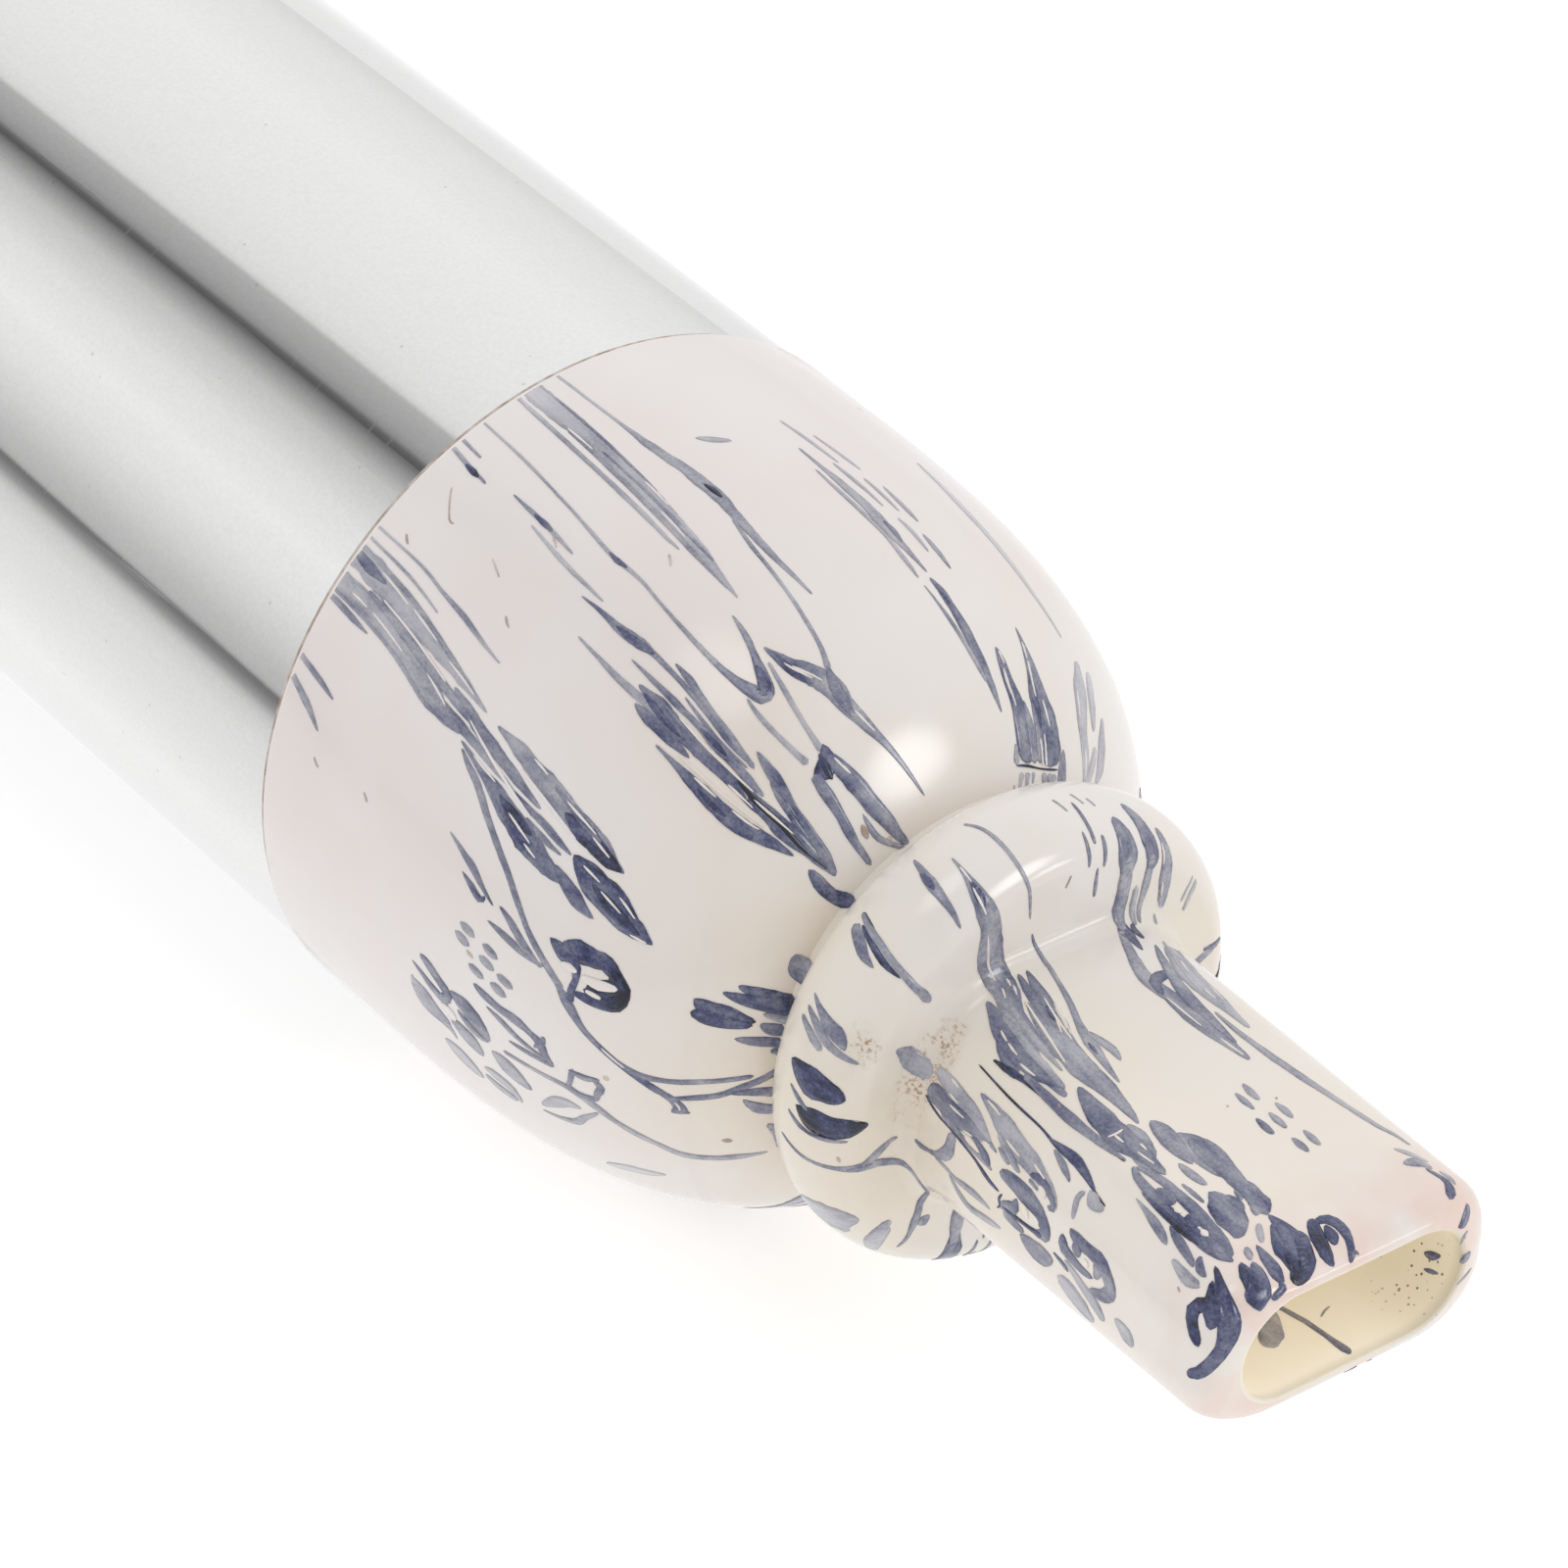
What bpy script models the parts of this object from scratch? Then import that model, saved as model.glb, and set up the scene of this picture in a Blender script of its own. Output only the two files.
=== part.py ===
"""A vertically blown bawu, a free-reed pipe with a wind cap, lying level on its side.

+X points to the mouthpiece, +Z up, and the finger holes face up. The origin is on the surface it lies on,
under the middle of its length. Sizes are in metres. Along the pipe, places are counted from the joint plane,
where the mouthpiece cap meets the head, positive towards the lips.
"""

import math

import bmesh
import bpy
from mathutils import Vector

# Clearances
GAP = 0.0003                # between pieces that touch or slide on each other
SHEET_GAP = 0.0001          # between the flat sheets of the reed
CHAMFER = 0.0003            # broken edges of turned pieces

# Facets round each axis, multiples of four
HEAD_SIDES = 40             # pieces as wide as the head
BODY_SIDES = 28             # narrower pieces
HOLE_SIDES = 20
BAND_SIDES = 6              # round the reed bands' own section

# Steps along curved stretches of an outline
CURVE_STEPS = 8
BORE_STEPS = 6              # curves inside the dome and the bell
FILLET_STEPS = 3            # from bead to beak
LIP_STEPS = 5               # rounding at the lips

# Mesh
MERGE = 1e-7                # points nearer than this are one
SHARP_ANGLE = 30            # degrees between faces that shade as an edge

# Head: metal sleeve over the wind chamber
SLEEVE_RADIUS = 0.0160
SLEEVE_WALL = 0.0006
SLEEVE_LENGTH = 0.0580
CHAMBER_WALL = 0.0012
CHAMBER_FLOOR = 0.0070      # web that holds the reed tube
SHOULDER_LENGTH = 0.0260    # from the sleeve's end to the socket's mouth
SHOULDER_RIM = 0.0030       # straight rim of the shoulder, next to the sleeve
SHOULDER_FOOT_RADIUS = 0.0129
COLLAR_LENGTH = 0.0070
COLLAR_WALL = 0.0013

# Mouthpiece cap
CAP_LENGTH = 0.0490         # joint plane to lip
CAP_WALL = 0.0020
DOME_PROUD = 0.00015        # the dome stands this much proud of the sleeve
DOME_STRAIGHT = 0.0031      # straight band next to the sleeve
DOME_LENGTH = 0.0229        # half length of the dome's oval
DOME_FULLNESS = 3.0         # 2 gives an ellipse, more a fuller shoulder
NECK_RADIUS = 0.0088
CREASE_WIDTH = 0.0006       # between dome and bead
BEAD_RADIUS = 0.0105
BEAD_LENGTH = 0.0050
BEAK_ROOT_WIDTH = 0.0134
BEAK_ROOT_HEIGHT = 0.0108
BEAK_ROOT_CORNER = 0.0044
BEAK_TIP_WIDTH = 0.0147
BEAK_TIP_HEIGHT = 0.0070
BEAK_TIP_CORNER = 0.0028
BEAK_WALL = 0.0015
ROOT_FILLET = 0.0009
TIP_ROUND = 0.0016          # rounding of the beak's two narrow ends at the lip
LIP_ROUND = 0.0009          # rounding of its broad faces there
SLOT_WIDTH = 0.0111
SLOT_HEIGHT = 0.0049
SPIGOT_LENGTH = 0.0130
SPIGOT_WALL = 0.0028

# Corked joints
CORK_GROOVE = 0.0011        # depth of the groove that holds a cork ring
TENON_LIP = 0.0020          # lips at both ends of the groove
TENON_LENGTH = 0.0200
TENON_RADIUS = 0.0097

# Pipe
BORE_RADIUS = 0.0065
BODY_RADIUS = 0.0120
BEAD_RING_HEIGHT = 0.0006   # turned beads at the ends of the upper body
BEAD_RING_LENGTH = 0.0040
UPPER_LENGTH = 0.1600
LOWER_LENGTH = 0.0994
FERRULE_WALL = 0.0012
FERRULE_LENGTH = 0.0134
SOCKET_WALL = 0.0017
HOLE_RADIUS = 0.0040
UPPER_HOLES_FROM_TOP = (0.0280, 0.0500, 0.0720, 0.0980, 0.1190, 0.1400)
THUMB_HOLE_FROM_TOP = 0.0170
LOWER_HOLE_FROM_TOP = 0.0330
VENT_RADIUS = 0.0025
VENT_FROM_FOOT_JOINT = 0.0160

# Foot
FOOT_LENGTH = 0.0367
FOOT_SOCKET = 0.0120
FOOT_WAIST = 0.0080         # straight part above the flare
FOOT_RIM = 0.0090           # metal ferrule's length
FOOT_FERRULE_WALL = 0.0009
FOOT_MOUTH_RADIUS = 0.0095

# Reed, on the reed tube inside the wind chamber
REED_TUBE_RADIUS = 0.0085
REED_TUBE_SETBACK = 0.0160  # its top, below the joint plane
PLUG_FLANGE = 0.0015
PLUG_STEM = 0.0038
PLATE_SETBACK = 0.0030      # plate's end, below the reed tube's top
PLATE_LENGTH = 0.0310
PLATE_WIDTH = 0.0090
PLATE_THICKNESS = 0.0005
SEAL_THICKNESS = 0.0004
SEAT_HEIGHT = 0.0071        # flat seat, above the tube's axis
WINDOW_LENGTH = 0.0240
WINDOW_WIDTH = 0.0060
TONGUE_LENGTH = 0.0205
TONGUE_ROOT_WIDTH = 0.0046
TONGUE_TIP_WIDTH = 0.0012
TONGUE_THICKNESS = 0.00025
TONGUE_CLEARANCE = 0.00015
BAND_THICKNESS = 0.0014
BAND_FROM_PLATE_END = 0.0025

# Places along the pipe, from the joint plane
SLEEVE_END = -SLEEVE_LENGTH
HEAD_END = SLEEVE_END - SHOULDER_LENGTH
UPPER_TOP = HEAD_END - GAP
UPPER_END = UPPER_TOP - UPPER_LENGTH
LOWER_TOP = UPPER_END - GAP
LOWER_END = LOWER_TOP - LOWER_LENGTH
FOOT_TOP = LOWER_END - GAP
FOOT_END = FOOT_TOP - FOOT_LENGTH
SOCKET_FLOOR = HEAD_END + TENON_LENGTH
REED_TUBE_TOP = -REED_TUBE_SETBACK
REED_TUBE_END = SOCKET_FLOOR + GAP
PLATE_TOP = REED_TUBE_TOP - PLATE_SETBACK
PLATE_END = PLATE_TOP - PLATE_LENGTH
TONGUE_ROOT = PLATE_END + (PLATE_LENGTH - TONGUE_LENGTH) / 2

# Radii that follow from the ones above
DOME_RADIUS = SLEEVE_RADIUS + DOME_PROUD
SLEEVE_BORE = SLEEVE_RADIUS - SLEEVE_WALL
CHAMBER_RADIUS = SLEEVE_BORE - GAP
CHAMBER_BORE = CHAMBER_RADIUS - CHAMBER_WALL
SPIGOT_RADIUS = CHAMBER_BORE - GAP
SPIGOT_BORE = SPIGOT_RADIUS - SPIGOT_WALL
SOCKET_RADIUS = TENON_RADIUS + GAP
BEAD_START = DOME_STRAIGHT + DOME_LENGTH * (1 - (NECK_RADIUS / DOME_RADIUS) ** DOME_FULLNESS) ** (
    1 / DOME_FULLNESS) + CREASE_WIDTH
BEAD_END = BEAD_START + BEAD_LENGTH

# Where the pipe lies: its axis is as high as the dome's lowest flat, and half of it is on each side of X = 0
AXIS_HEIGHT = DOME_RADIUS * math.cos(math.pi / HEAD_SIDES)
JOINT_X = (CAP_LENGTH + FOOT_END) / -2


def clear_scene():
    for old in list(bpy.data.objects):
        bpy.data.objects.remove(old, do_unlink=True)


def material(name, colour, roughness, metallic=0.0):
    made = bpy.data.materials.new(name)
    made.use_nodes = True
    shader = made.node_tree.nodes["Principled BSDF"]
    shader.inputs["Base Color"].default_value = (*colour, 1.0)
    shader.inputs["Roughness"].default_value = roughness
    shader.inputs["Metallic"].default_value = metallic
    made.diffuse_color = (*colour, 1.0)
    return made


def joint_frame(name, parent=None):
    """An empty on the pipe's axis at the joint plane, which carries one moving body."""
    frame = bpy.data.objects.new(name, None)
    frame.empty_display_size = BODY_RADIUS
    bpy.context.scene.collection.objects.link(frame)
    if parent:
        frame.parent = parent
    else:
        frame.location = (JOINT_X, 0, AXIS_HEIGHT)
    return frame


def finish(name, bm, skin, parent, place=0.0, height=0.0):
    """Turns the bmesh into a smooth-shaded object, with its origin at place and height in its parent."""
    bmesh.ops.remove_doubles(bm, verts=bm.verts, dist=MERGE)
    bmesh.ops.recalc_face_normals(bm, faces=bm.faces)
    bmesh.ops.translate(bm, verts=bm.verts, vec=(-place, 0, -height))
    mesh = bpy.data.meshes.new(name)
    bm.to_mesh(mesh)
    bm.free()
    mesh.materials.append(skin)
    mesh.shade_smooth()
    mesh.set_sharp_from_angle(angle=math.radians(SHARP_ANGLE))
    piece = bpy.data.objects.new(name, mesh)
    bpy.context.scene.collection.objects.link(piece)
    piece.parent = parent
    piece.location = (place, 0, height)
    return piece


def turned(name, outline, skin, parent, sides=BODY_SIDES):
    """Spins an outline of (place, radius) points round the axis. It is closed, unless it ends on the axis."""
    bm = bmesh.new()
    start = math.pi / sides
    points = [bm.verts.new((x, r * math.cos(start), r * math.sin(start))) for x, r in outline]
    pairs = list(zip(points, points[1:]))
    if outline[0][1] > 0:
        pairs.append((points[-1], points[0]))
    edges = [bm.edges.new(pair) for pair in pairs]
    bmesh.ops.spin(bm, geom=points + edges, cent=(0, 0, 0), axis=(1, 0, 0), angle=math.tau,
                   steps=sides, use_merge=True)
    return finish(name, bm, skin, parent)


def section(bm, place, half_width, half_height, corner, sides):
    """Points round the axis: a rounded rectangle, or a circle where the last three measures are equal."""
    points = []
    for i in range(sides):
        angle = math.tau * (i + 0.5) / sides
        across, up = math.cos(angle), math.sin(angle)
        points.append(bm.verts.new((
            place,
            math.copysign(half_width - corner, across) + corner * across,
            math.copysign(half_height - corner, up) + corner * up,
        )))
    return points


def lofted(name, sections, skin, parent, sides):
    """Joins each section to the next, and the last to the first, into one closed skin."""
    bm = bmesh.new()
    rings = [section(bm, *measures, sides) for measures in sections]
    for here, there in zip(rings, rings[1:] + rings[:1]):
        for i in range(sides):
            after = (i + 1) % sides
            bm.faces.new((here[i], here[after], there[after], there[i]))
    return finish(name, bm, skin, parent)


def slab(name, outline, bottom, top, skin, parent, place=0.0, height=0.0):
    """Extrudes a closed outline of (x, y) points from one height above the axis to another."""
    bm = bmesh.new()
    face = bm.faces.new([bm.verts.new((x, y, bottom)) for x, y in outline])
    raised = bmesh.ops.extrude_face_region(bm, geom=[face])["geom"]
    bmesh.ops.translate(bm, verts=[v for v in raised if isinstance(v, bmesh.types.BMVert)],
                        vec=(0, 0, top - bottom))
    return finish(name, bm, skin, parent, place, height)


def cut(piece, cutter):
    """Takes the cutter out of the piece with a Boolean, and keeps the cutter as a hidden helper."""
    cutter.hide_render = True
    cutter.display_type = "WIRE"
    boolean = piece.modifiers.new("cut_" + cutter.name, "BOOLEAN")
    boolean.operation = "DIFFERENCE"
    boolean.solver = "EXACT"
    boolean.object = cutter


def drill(piece, name, place, direction, radius, skin):
    """Drills a round hole square to the axis, outwards along direction, a (y, z) unit vector."""
    bm = bmesh.new()
    reach = 2 * BODY_RADIUS
    bmesh.ops.create_circle(bm, cap_ends=True, segments=HOLE_SIDES, radius=radius)
    raised = bmesh.ops.extrude_face_region(bm, geom=list(bm.faces))["geom"]
    bmesh.ops.translate(bm, verts=[v for v in raised if isinstance(v, bmesh.types.BMVert)], vec=(0, 0, reach))
    turn = Vector((0, 0, 1)).rotation_difference(Vector((0, *direction))).to_matrix()
    bmesh.ops.rotate(bm, verts=bm.verts, cent=(0, 0, 0), matrix=turn)
    bmesh.ops.translate(bm, verts=bm.verts, vec=(place, 0, 0))
    cut(piece, finish(name, bm, skin, piece.parent))


def oval(start, half_length, radius, fullness, neck, steps=CURVE_STEPS):
    """Points of a dome's outline from its widest place down to the neck's radius."""
    end = (1 - (neck / radius) ** fullness) ** (1 / fullness)
    last = math.asin(end ** (fullness / 2))
    points = []
    for i in range(steps + 1):
        angle = last * i / steps
        along = math.sin(angle) ** (2 / fullness)
        out = math.cos(angle) ** (2 / fullness)
        points.append((start + half_length * along, radius * out))
    return points


def easing(start, end, steps=CURVE_STEPS):
    """Points of an S curve between two (place, radius) points, level at both ends."""
    points = []
    for i in range(steps + 1):
        share = i / steps
        blend = (1 - math.cos(math.pi * share)) / 2
        points.append((start[0] + (end[0] - start[0]) * share, start[1] + (end[1] - start[1]) * blend))
    return points


def tenon(root, end, radius):
    """Outline of a corked tenon from its root to its end: lip, groove, lip and broken edge."""
    way = math.copysign(1, end - root)
    floor = radius - CORK_GROOVE
    return [
        (root, radius),
        (root + way * TENON_LIP, radius),
        (root + way * TENON_LIP, floor),
        (end - way * TENON_LIP, floor),
        (end - way * TENON_LIP, radius),
        (end - way * CHAMFER, radius),
        (end, radius - CHAMFER),
    ]


def cork_ring(name, root, end, radius, skin, parent, sides=BODY_SIDES):
    """Cork in a tenon's groove, flush with its lips."""
    way = math.copysign(1, end - root)
    near = root + way * (TENON_LIP + GAP)
    far = end - way * (TENON_LIP + GAP)
    inner = radius - CORK_GROOVE + GAP
    return turned(name, [(near, radius), (near, inner), (far, inner), (far, radius)], skin, parent, sides)


def metal_ring(name, top, end, bore, wall, skin, parent, sides=BODY_SIDES):
    """A turned ring with broken outer edges."""
    outer = bore + wall
    outline = [
        (top, bore), (top, outer - CHAMFER), (top - CHAMFER, outer),
        (end + CHAMFER, outer), (end, outer - CHAMFER), (end, bore),
    ]
    return turned(name, outline, skin, parent, sides)


def circle(place, radius):
    return (place, radius, radius, radius)


def beak_section(share, place):
    """The beak's outer section, share of the way from its root to its tip."""
    def between(root, tip):
        return root + (tip - root) * share
    width = between(BEAK_ROOT_WIDTH, BEAK_TIP_WIDTH)
    height = between(BEAK_ROOT_HEIGHT, BEAK_TIP_HEIGHT)
    return (place, width / 2, height / 2, between(BEAK_ROOT_CORNER, BEAK_TIP_CORNER))


def mouthpiece_cap(skin, parent):
    """Dome, bead and beak in one hollow moulding, with the spigot that plugs into the wind chamber."""
    sections = [circle(*p) for p in reversed(tenon(GAP, -SPIGOT_LENGTH, SPIGOT_RADIUS))]
    sections += [circle(GAP, DOME_RADIUS - CHAMFER), circle(GAP + CHAMFER, DOME_RADIUS)]
    dome = oval(DOME_STRAIGHT, DOME_LENGTH, DOME_RADIUS, DOME_FULLNESS, NECK_RADIUS)
    sections += [circle(*p) for p in dome]
    for i in range(CURVE_STEPS):
        angle = math.pi * i / CURVE_STEPS
        sections.append(circle(
            BEAD_START + BEAD_LENGTH * (1 - math.cos(angle)) / 2,
            NECK_RADIUS + (BEAD_RADIUS - NECK_RADIUS) * math.sin(angle),
        ))
    for i in range(FILLET_STEPS + 1):
        angle = math.pi / 2 * i / FILLET_STEPS
        place, width, height, corner = beak_section(0.0, BEAD_END + ROOT_FILLET * (1 - math.cos(angle)))
        spread = ROOT_FILLET * (1 - math.sin(angle))
        sections.append((place, width + spread, height + spread, corner + spread))
    for i in range(LIP_STEPS + 1):
        angle = math.pi / 2 * i / LIP_STEPS
        place, width, height, corner = beak_section(1.0, CAP_LENGTH - TIP_ROUND * (1 - math.sin(angle)))
        width -= TIP_ROUND * (1 - math.cos(angle))
        height -= LIP_ROUND * (1 - math.cos(angle))
        sections.append((place, width, height, min(corner, height)))
    sections.append((CAP_LENGTH - CHAMFER, SLOT_WIDTH / 2, SLOT_HEIGHT / 2, SLOT_HEIGHT / 2))
    airway = (BEAK_ROOT_WIDTH / 2 - BEAK_WALL, BEAK_ROOT_HEIGHT / 2 - BEAK_WALL, BEAK_ROOT_CORNER - BEAK_WALL)
    sections.append((BEAD_END, *airway))
    inner_dome = oval(DOME_STRAIGHT, DOME_LENGTH - CAP_WALL, DOME_RADIUS - CAP_WALL, DOME_FULLNESS,
                      NECK_RADIUS - CAP_WALL, BORE_STEPS)
    sections += [circle(*p) for p in reversed(inner_dome)]
    sections += [circle(GAP + CAP_WALL, DOME_RADIUS - CAP_WALL), circle(GAP, SPIGOT_BORE),
                 circle(-SPIGOT_LENGTH, SPIGOT_BORE)]
    return lofted("mouthpiece_cap", sections, skin, parent, HEAD_SIDES)


def head_sleeve(skin, parent):
    return metal_ring("head_sleeve", 0.0, SLEEVE_END, SLEEVE_BORE, SLEEVE_WALL, skin, parent, HEAD_SIDES)


def wind_chamber(skin, parent):
    """Chamber inside the sleeve, bottle shoulder below it, and the socket for the upper body."""
    rim_top = SLEEVE_END - GAP
    rim_end = rim_top - SHOULDER_RIM
    collar_top = HEAD_END + COLLAR_LENGTH
    seat = SHOULDER_FOOT_RADIUS + CHAMFER - COLLAR_WALL - GAP
    tube_hole = REED_TUBE_RADIUS + GAP
    outline = [(0.0, CHAMBER_RADIUS), (rim_top, CHAMBER_RADIUS), (rim_top, DOME_RADIUS - CHAMFER),
               (rim_top - CHAMFER, DOME_RADIUS)]
    outline += easing((rim_end, DOME_RADIUS), (collar_top + GAP, SHOULDER_FOOT_RADIUS))
    outline += [(collar_top + GAP, seat), (HEAD_END, seat), (HEAD_END, SOCKET_RADIUS),
                (SOCKET_FLOOR, SOCKET_RADIUS), (SOCKET_FLOOR, tube_hole),
                (SOCKET_FLOOR + CHAMBER_FLOOR, tube_hole), (SOCKET_FLOOR + CHAMBER_FLOOR, CHAMBER_BORE),
                (0.0, CHAMBER_BORE)]
    return turned("wind_chamber", outline, skin, parent, HEAD_SIDES)


def socket_collar(skin, parent):
    bore = SHOULDER_FOOT_RADIUS + CHAMFER - COLLAR_WALL
    return metal_ring("socket_collar", HEAD_END + COLLAR_LENGTH, HEAD_END, bore, COLLAR_WALL, skin, parent,
                      BODY_SIDES)


def oblong(low, high, half_width):
    return [(low, -half_width), (high, -half_width), (high, half_width), (low, half_width)]


def plate_outline():
    return oblong(PLATE_END, PLATE_TOP, PLATE_WIDTH / 2)


def window_outline():
    middle = (PLATE_TOP + PLATE_END) / 2
    return oblong(middle - WINDOW_LENGTH / 2, middle + WINDOW_LENGTH / 2, WINDOW_WIDTH / 2)


def reed_tube(skin, parent):
    """Tube that carries the reed: a flat seat on top, with a window through it under the tongue."""
    outline = [(REED_TUBE_TOP, REED_TUBE_RADIUS), (REED_TUBE_TOP, BORE_RADIUS),
               (REED_TUBE_END, BORE_RADIUS), (REED_TUBE_END, REED_TUBE_RADIUS)]
    tube = turned("reed_tube", outline, skin, parent)
    reach = 2 * REED_TUBE_RADIUS
    seat = oblong(PLATE_END - SHEET_GAP, PLATE_TOP + SHEET_GAP, reach)
    cut(tube, slab("seat_cutter", seat, SEAT_HEIGHT, reach, skin, parent))
    cut(tube, slab("window_cutter", window_outline(), 0.0, reach, skin, parent))
    return tube


def reed_tube_plug(skin, parent):
    """Stopper with a flange, in the reed tube's top."""
    face = REED_TUBE_TOP + GAP
    stem = BORE_RADIUS - GAP
    outline = [
        (face + PLUG_FLANGE, 0.0), (face + PLUG_FLANGE, REED_TUBE_RADIUS - CHAMFER),
        (face + PLUG_FLANGE - CHAMFER, REED_TUBE_RADIUS), (face, REED_TUBE_RADIUS), (face, stem),
        (REED_TUBE_TOP - PLUG_STEM, stem), (REED_TUBE_TOP - PLUG_STEM, 0.0),
    ]
    return turned("reed_tube_plug", outline, skin, parent)


def tongue_outline(spread=0.0):
    """The tongue's tapered outline, or the slot round it where spread is its clearance."""
    root, tip = TONGUE_ROOT - spread, TONGUE_ROOT + TONGUE_LENGTH + spread
    at_root, at_tip = TONGUE_ROOT_WIDTH / 2 + spread, TONGUE_TIP_WIDTH / 2 + spread
    return [(root, -at_root), (tip, -at_tip), (tip, at_tip), (root, at_root)]


def reed_seal(skin, parent):
    """Gasket between seat and plate, open over the window."""
    bottom = SEAT_HEIGHT + SHEET_GAP
    seal = slab("reed_seal", plate_outline(), bottom, bottom + SEAL_THICKNESS, skin, parent)
    cut(seal, slab("seal_cutter", window_outline(), 0.0, 2 * REED_TUBE_RADIUS, skin, parent))
    return seal


def plate_bottom():
    return SEAT_HEIGHT + SHEET_GAP + SEAL_THICKNESS + SHEET_GAP


def reed_plate(skin, parent):
    bottom = plate_bottom()
    plate = slab("reed_plate", plate_outline(), bottom, bottom + PLATE_THICKNESS, skin, parent)
    cut(plate, slab("slot_cutter", tongue_outline(TONGUE_CLEARANCE), 0.0, 2 * REED_TUBE_RADIUS, skin, parent))
    return plate


def reed_tongue(skin, parent):
    """Tongue in the plate's slot, with its origin on the line where its root bends."""
    middle = plate_bottom() + PLATE_THICKNESS / 2
    return slab("reed_tongue", tongue_outline(), middle - TONGUE_THICKNESS / 2, middle + TONGUE_THICKNESS / 2,
                skin, parent, TONGUE_ROOT, middle)


def reed_band(name, place, skin, parent):
    """Rubber ring stretched over the plate's corners, round in section."""
    corner = math.hypot(PLATE_WIDTH / 2, plate_bottom() + PLATE_THICKNESS)
    thick = BAND_THICKNESS / 2
    middle = corner + GAP + thick
    outline = []
    for i in range(BAND_SIDES):
        angle = math.tau * i / BAND_SIDES
        outline.append((place + thick * math.cos(angle), middle + thick * math.sin(angle)))
    return turned(name, outline, skin, parent)


def upper_body(skin, parent):
    """Tube with a corked tenon at each end, turned end beads, finger holes on top and a thumb hole below."""
    bead = BODY_RADIUS + BEAD_RING_HEIGHT
    outline = list(reversed(tenon(UPPER_TOP, UPPER_TOP + TENON_LENGTH, TENON_RADIUS)))
    outline += [(UPPER_TOP, bead - CHAMFER), (UPPER_TOP - CHAMFER, bead),
                (UPPER_TOP - BEAD_RING_LENGTH + CHAMFER, bead), (UPPER_TOP - BEAD_RING_LENGTH, BODY_RADIUS),
                (UPPER_END + BEAD_RING_LENGTH, BODY_RADIUS), (UPPER_END + BEAD_RING_LENGTH - CHAMFER, bead),
                (UPPER_END + CHAMFER, bead), (UPPER_END, bead - CHAMFER)]
    outline += tenon(UPPER_END, UPPER_END - TENON_LENGTH, TENON_RADIUS)
    outline += [(UPPER_END - TENON_LENGTH, BORE_RADIUS), (UPPER_TOP + TENON_LENGTH, BORE_RADIUS)]
    body = turned("upper_body", outline, skin, parent)
    for number, distance in enumerate(UPPER_HOLES_FROM_TOP, 1):
        drill(body, f"finger_hole_cutter_{number}", UPPER_TOP - distance, (0, 1), HOLE_RADIUS, skin)
    drill(body, "thumb_hole_cutter", UPPER_TOP - THUMB_HOLE_FROM_TOP, (0, -1), HOLE_RADIUS, skin)
    return body


def lower_body(skin, parent):
    """Tube with a socket above, a plain spigot for the foot, the last finger hole and two side vents."""
    seat = SOCKET_RADIUS + SOCKET_WALL
    ferrule_end = LOWER_TOP - FERRULE_LENGTH
    socket_floor = LOWER_TOP - TENON_LENGTH
    spigot = SOCKET_RADIUS - GAP
    spigot_end = LOWER_END - FOOT_SOCKET
    outline = [
        (LOWER_TOP, SOCKET_RADIUS), (LOWER_TOP, seat), (ferrule_end - GAP, seat),
        (ferrule_end - GAP, BODY_RADIUS), (LOWER_END, BODY_RADIUS), (LOWER_END, spigot),
        (spigot_end + CHAMFER, spigot), (spigot_end, spigot - CHAMFER), (spigot_end, BORE_RADIUS),
        (socket_floor, BORE_RADIUS), (socket_floor, SOCKET_RADIUS),
    ]
    body = turned("lower_body", outline, skin, parent)
    drill(body, "last_hole_cutter", LOWER_TOP - LOWER_HOLE_FROM_TOP, (0, 1), HOLE_RADIUS, skin)
    for side, name in ((1, "left_vent_cutter"), (-1, "right_vent_cutter")):
        drill(body, name, LOWER_END + VENT_FROM_FOOT_JOINT, (side, 0), VENT_RADIUS, skin)
    return body


def middle_ferrule(skin, parent):
    bore = SOCKET_RADIUS + SOCKET_WALL + GAP
    return metal_ring("middle_ferrule", LOWER_TOP, LOWER_TOP - FERRULE_LENGTH, bore, FERRULE_WALL, skin, parent)


def foot_bell(skin, parent):
    """Flared foot, pushed on the lower body's spigot, with a seat for the metal ferrule on its rim."""
    seat = DOME_RADIUS - FOOT_FERRULE_WALL - GAP
    rim_top = FOOT_END + FOOT_RIM
    socket_floor = FOOT_TOP - FOOT_SOCKET
    bead = BODY_RADIUS + BEAD_RING_HEIGHT
    outline = [(FOOT_TOP, SOCKET_RADIUS), (FOOT_TOP, bead - CHAMFER), (FOOT_TOP - CHAMFER, bead),
               (FOOT_TOP - BEAD_RING_LENGTH + CHAMFER, bead), (FOOT_TOP - BEAD_RING_LENGTH, BODY_RADIUS)]
    outline += easing((FOOT_TOP - FOOT_WAIST, BODY_RADIUS), (rim_top + GAP, DOME_RADIUS - CHAMFER))
    outline += [(rim_top + GAP, seat), (FOOT_END, seat), (FOOT_END, FOOT_MOUTH_RADIUS)]
    outline += easing((FOOT_END + CHAMFER, FOOT_MOUTH_RADIUS), (socket_floor, BORE_RADIUS), BORE_STEPS)
    outline += [(socket_floor, SOCKET_RADIUS)]
    return turned("foot_bell", outline, skin, parent, HEAD_SIDES)


def foot_ferrule(skin, parent):
    return metal_ring("foot_ferrule", FOOT_END + FOOT_RIM, FOOT_END, DOME_RADIUS - FOOT_FERRULE_WALL,
                      FOOT_FERRULE_WALL, skin, parent, HEAD_SIDES)


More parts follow.
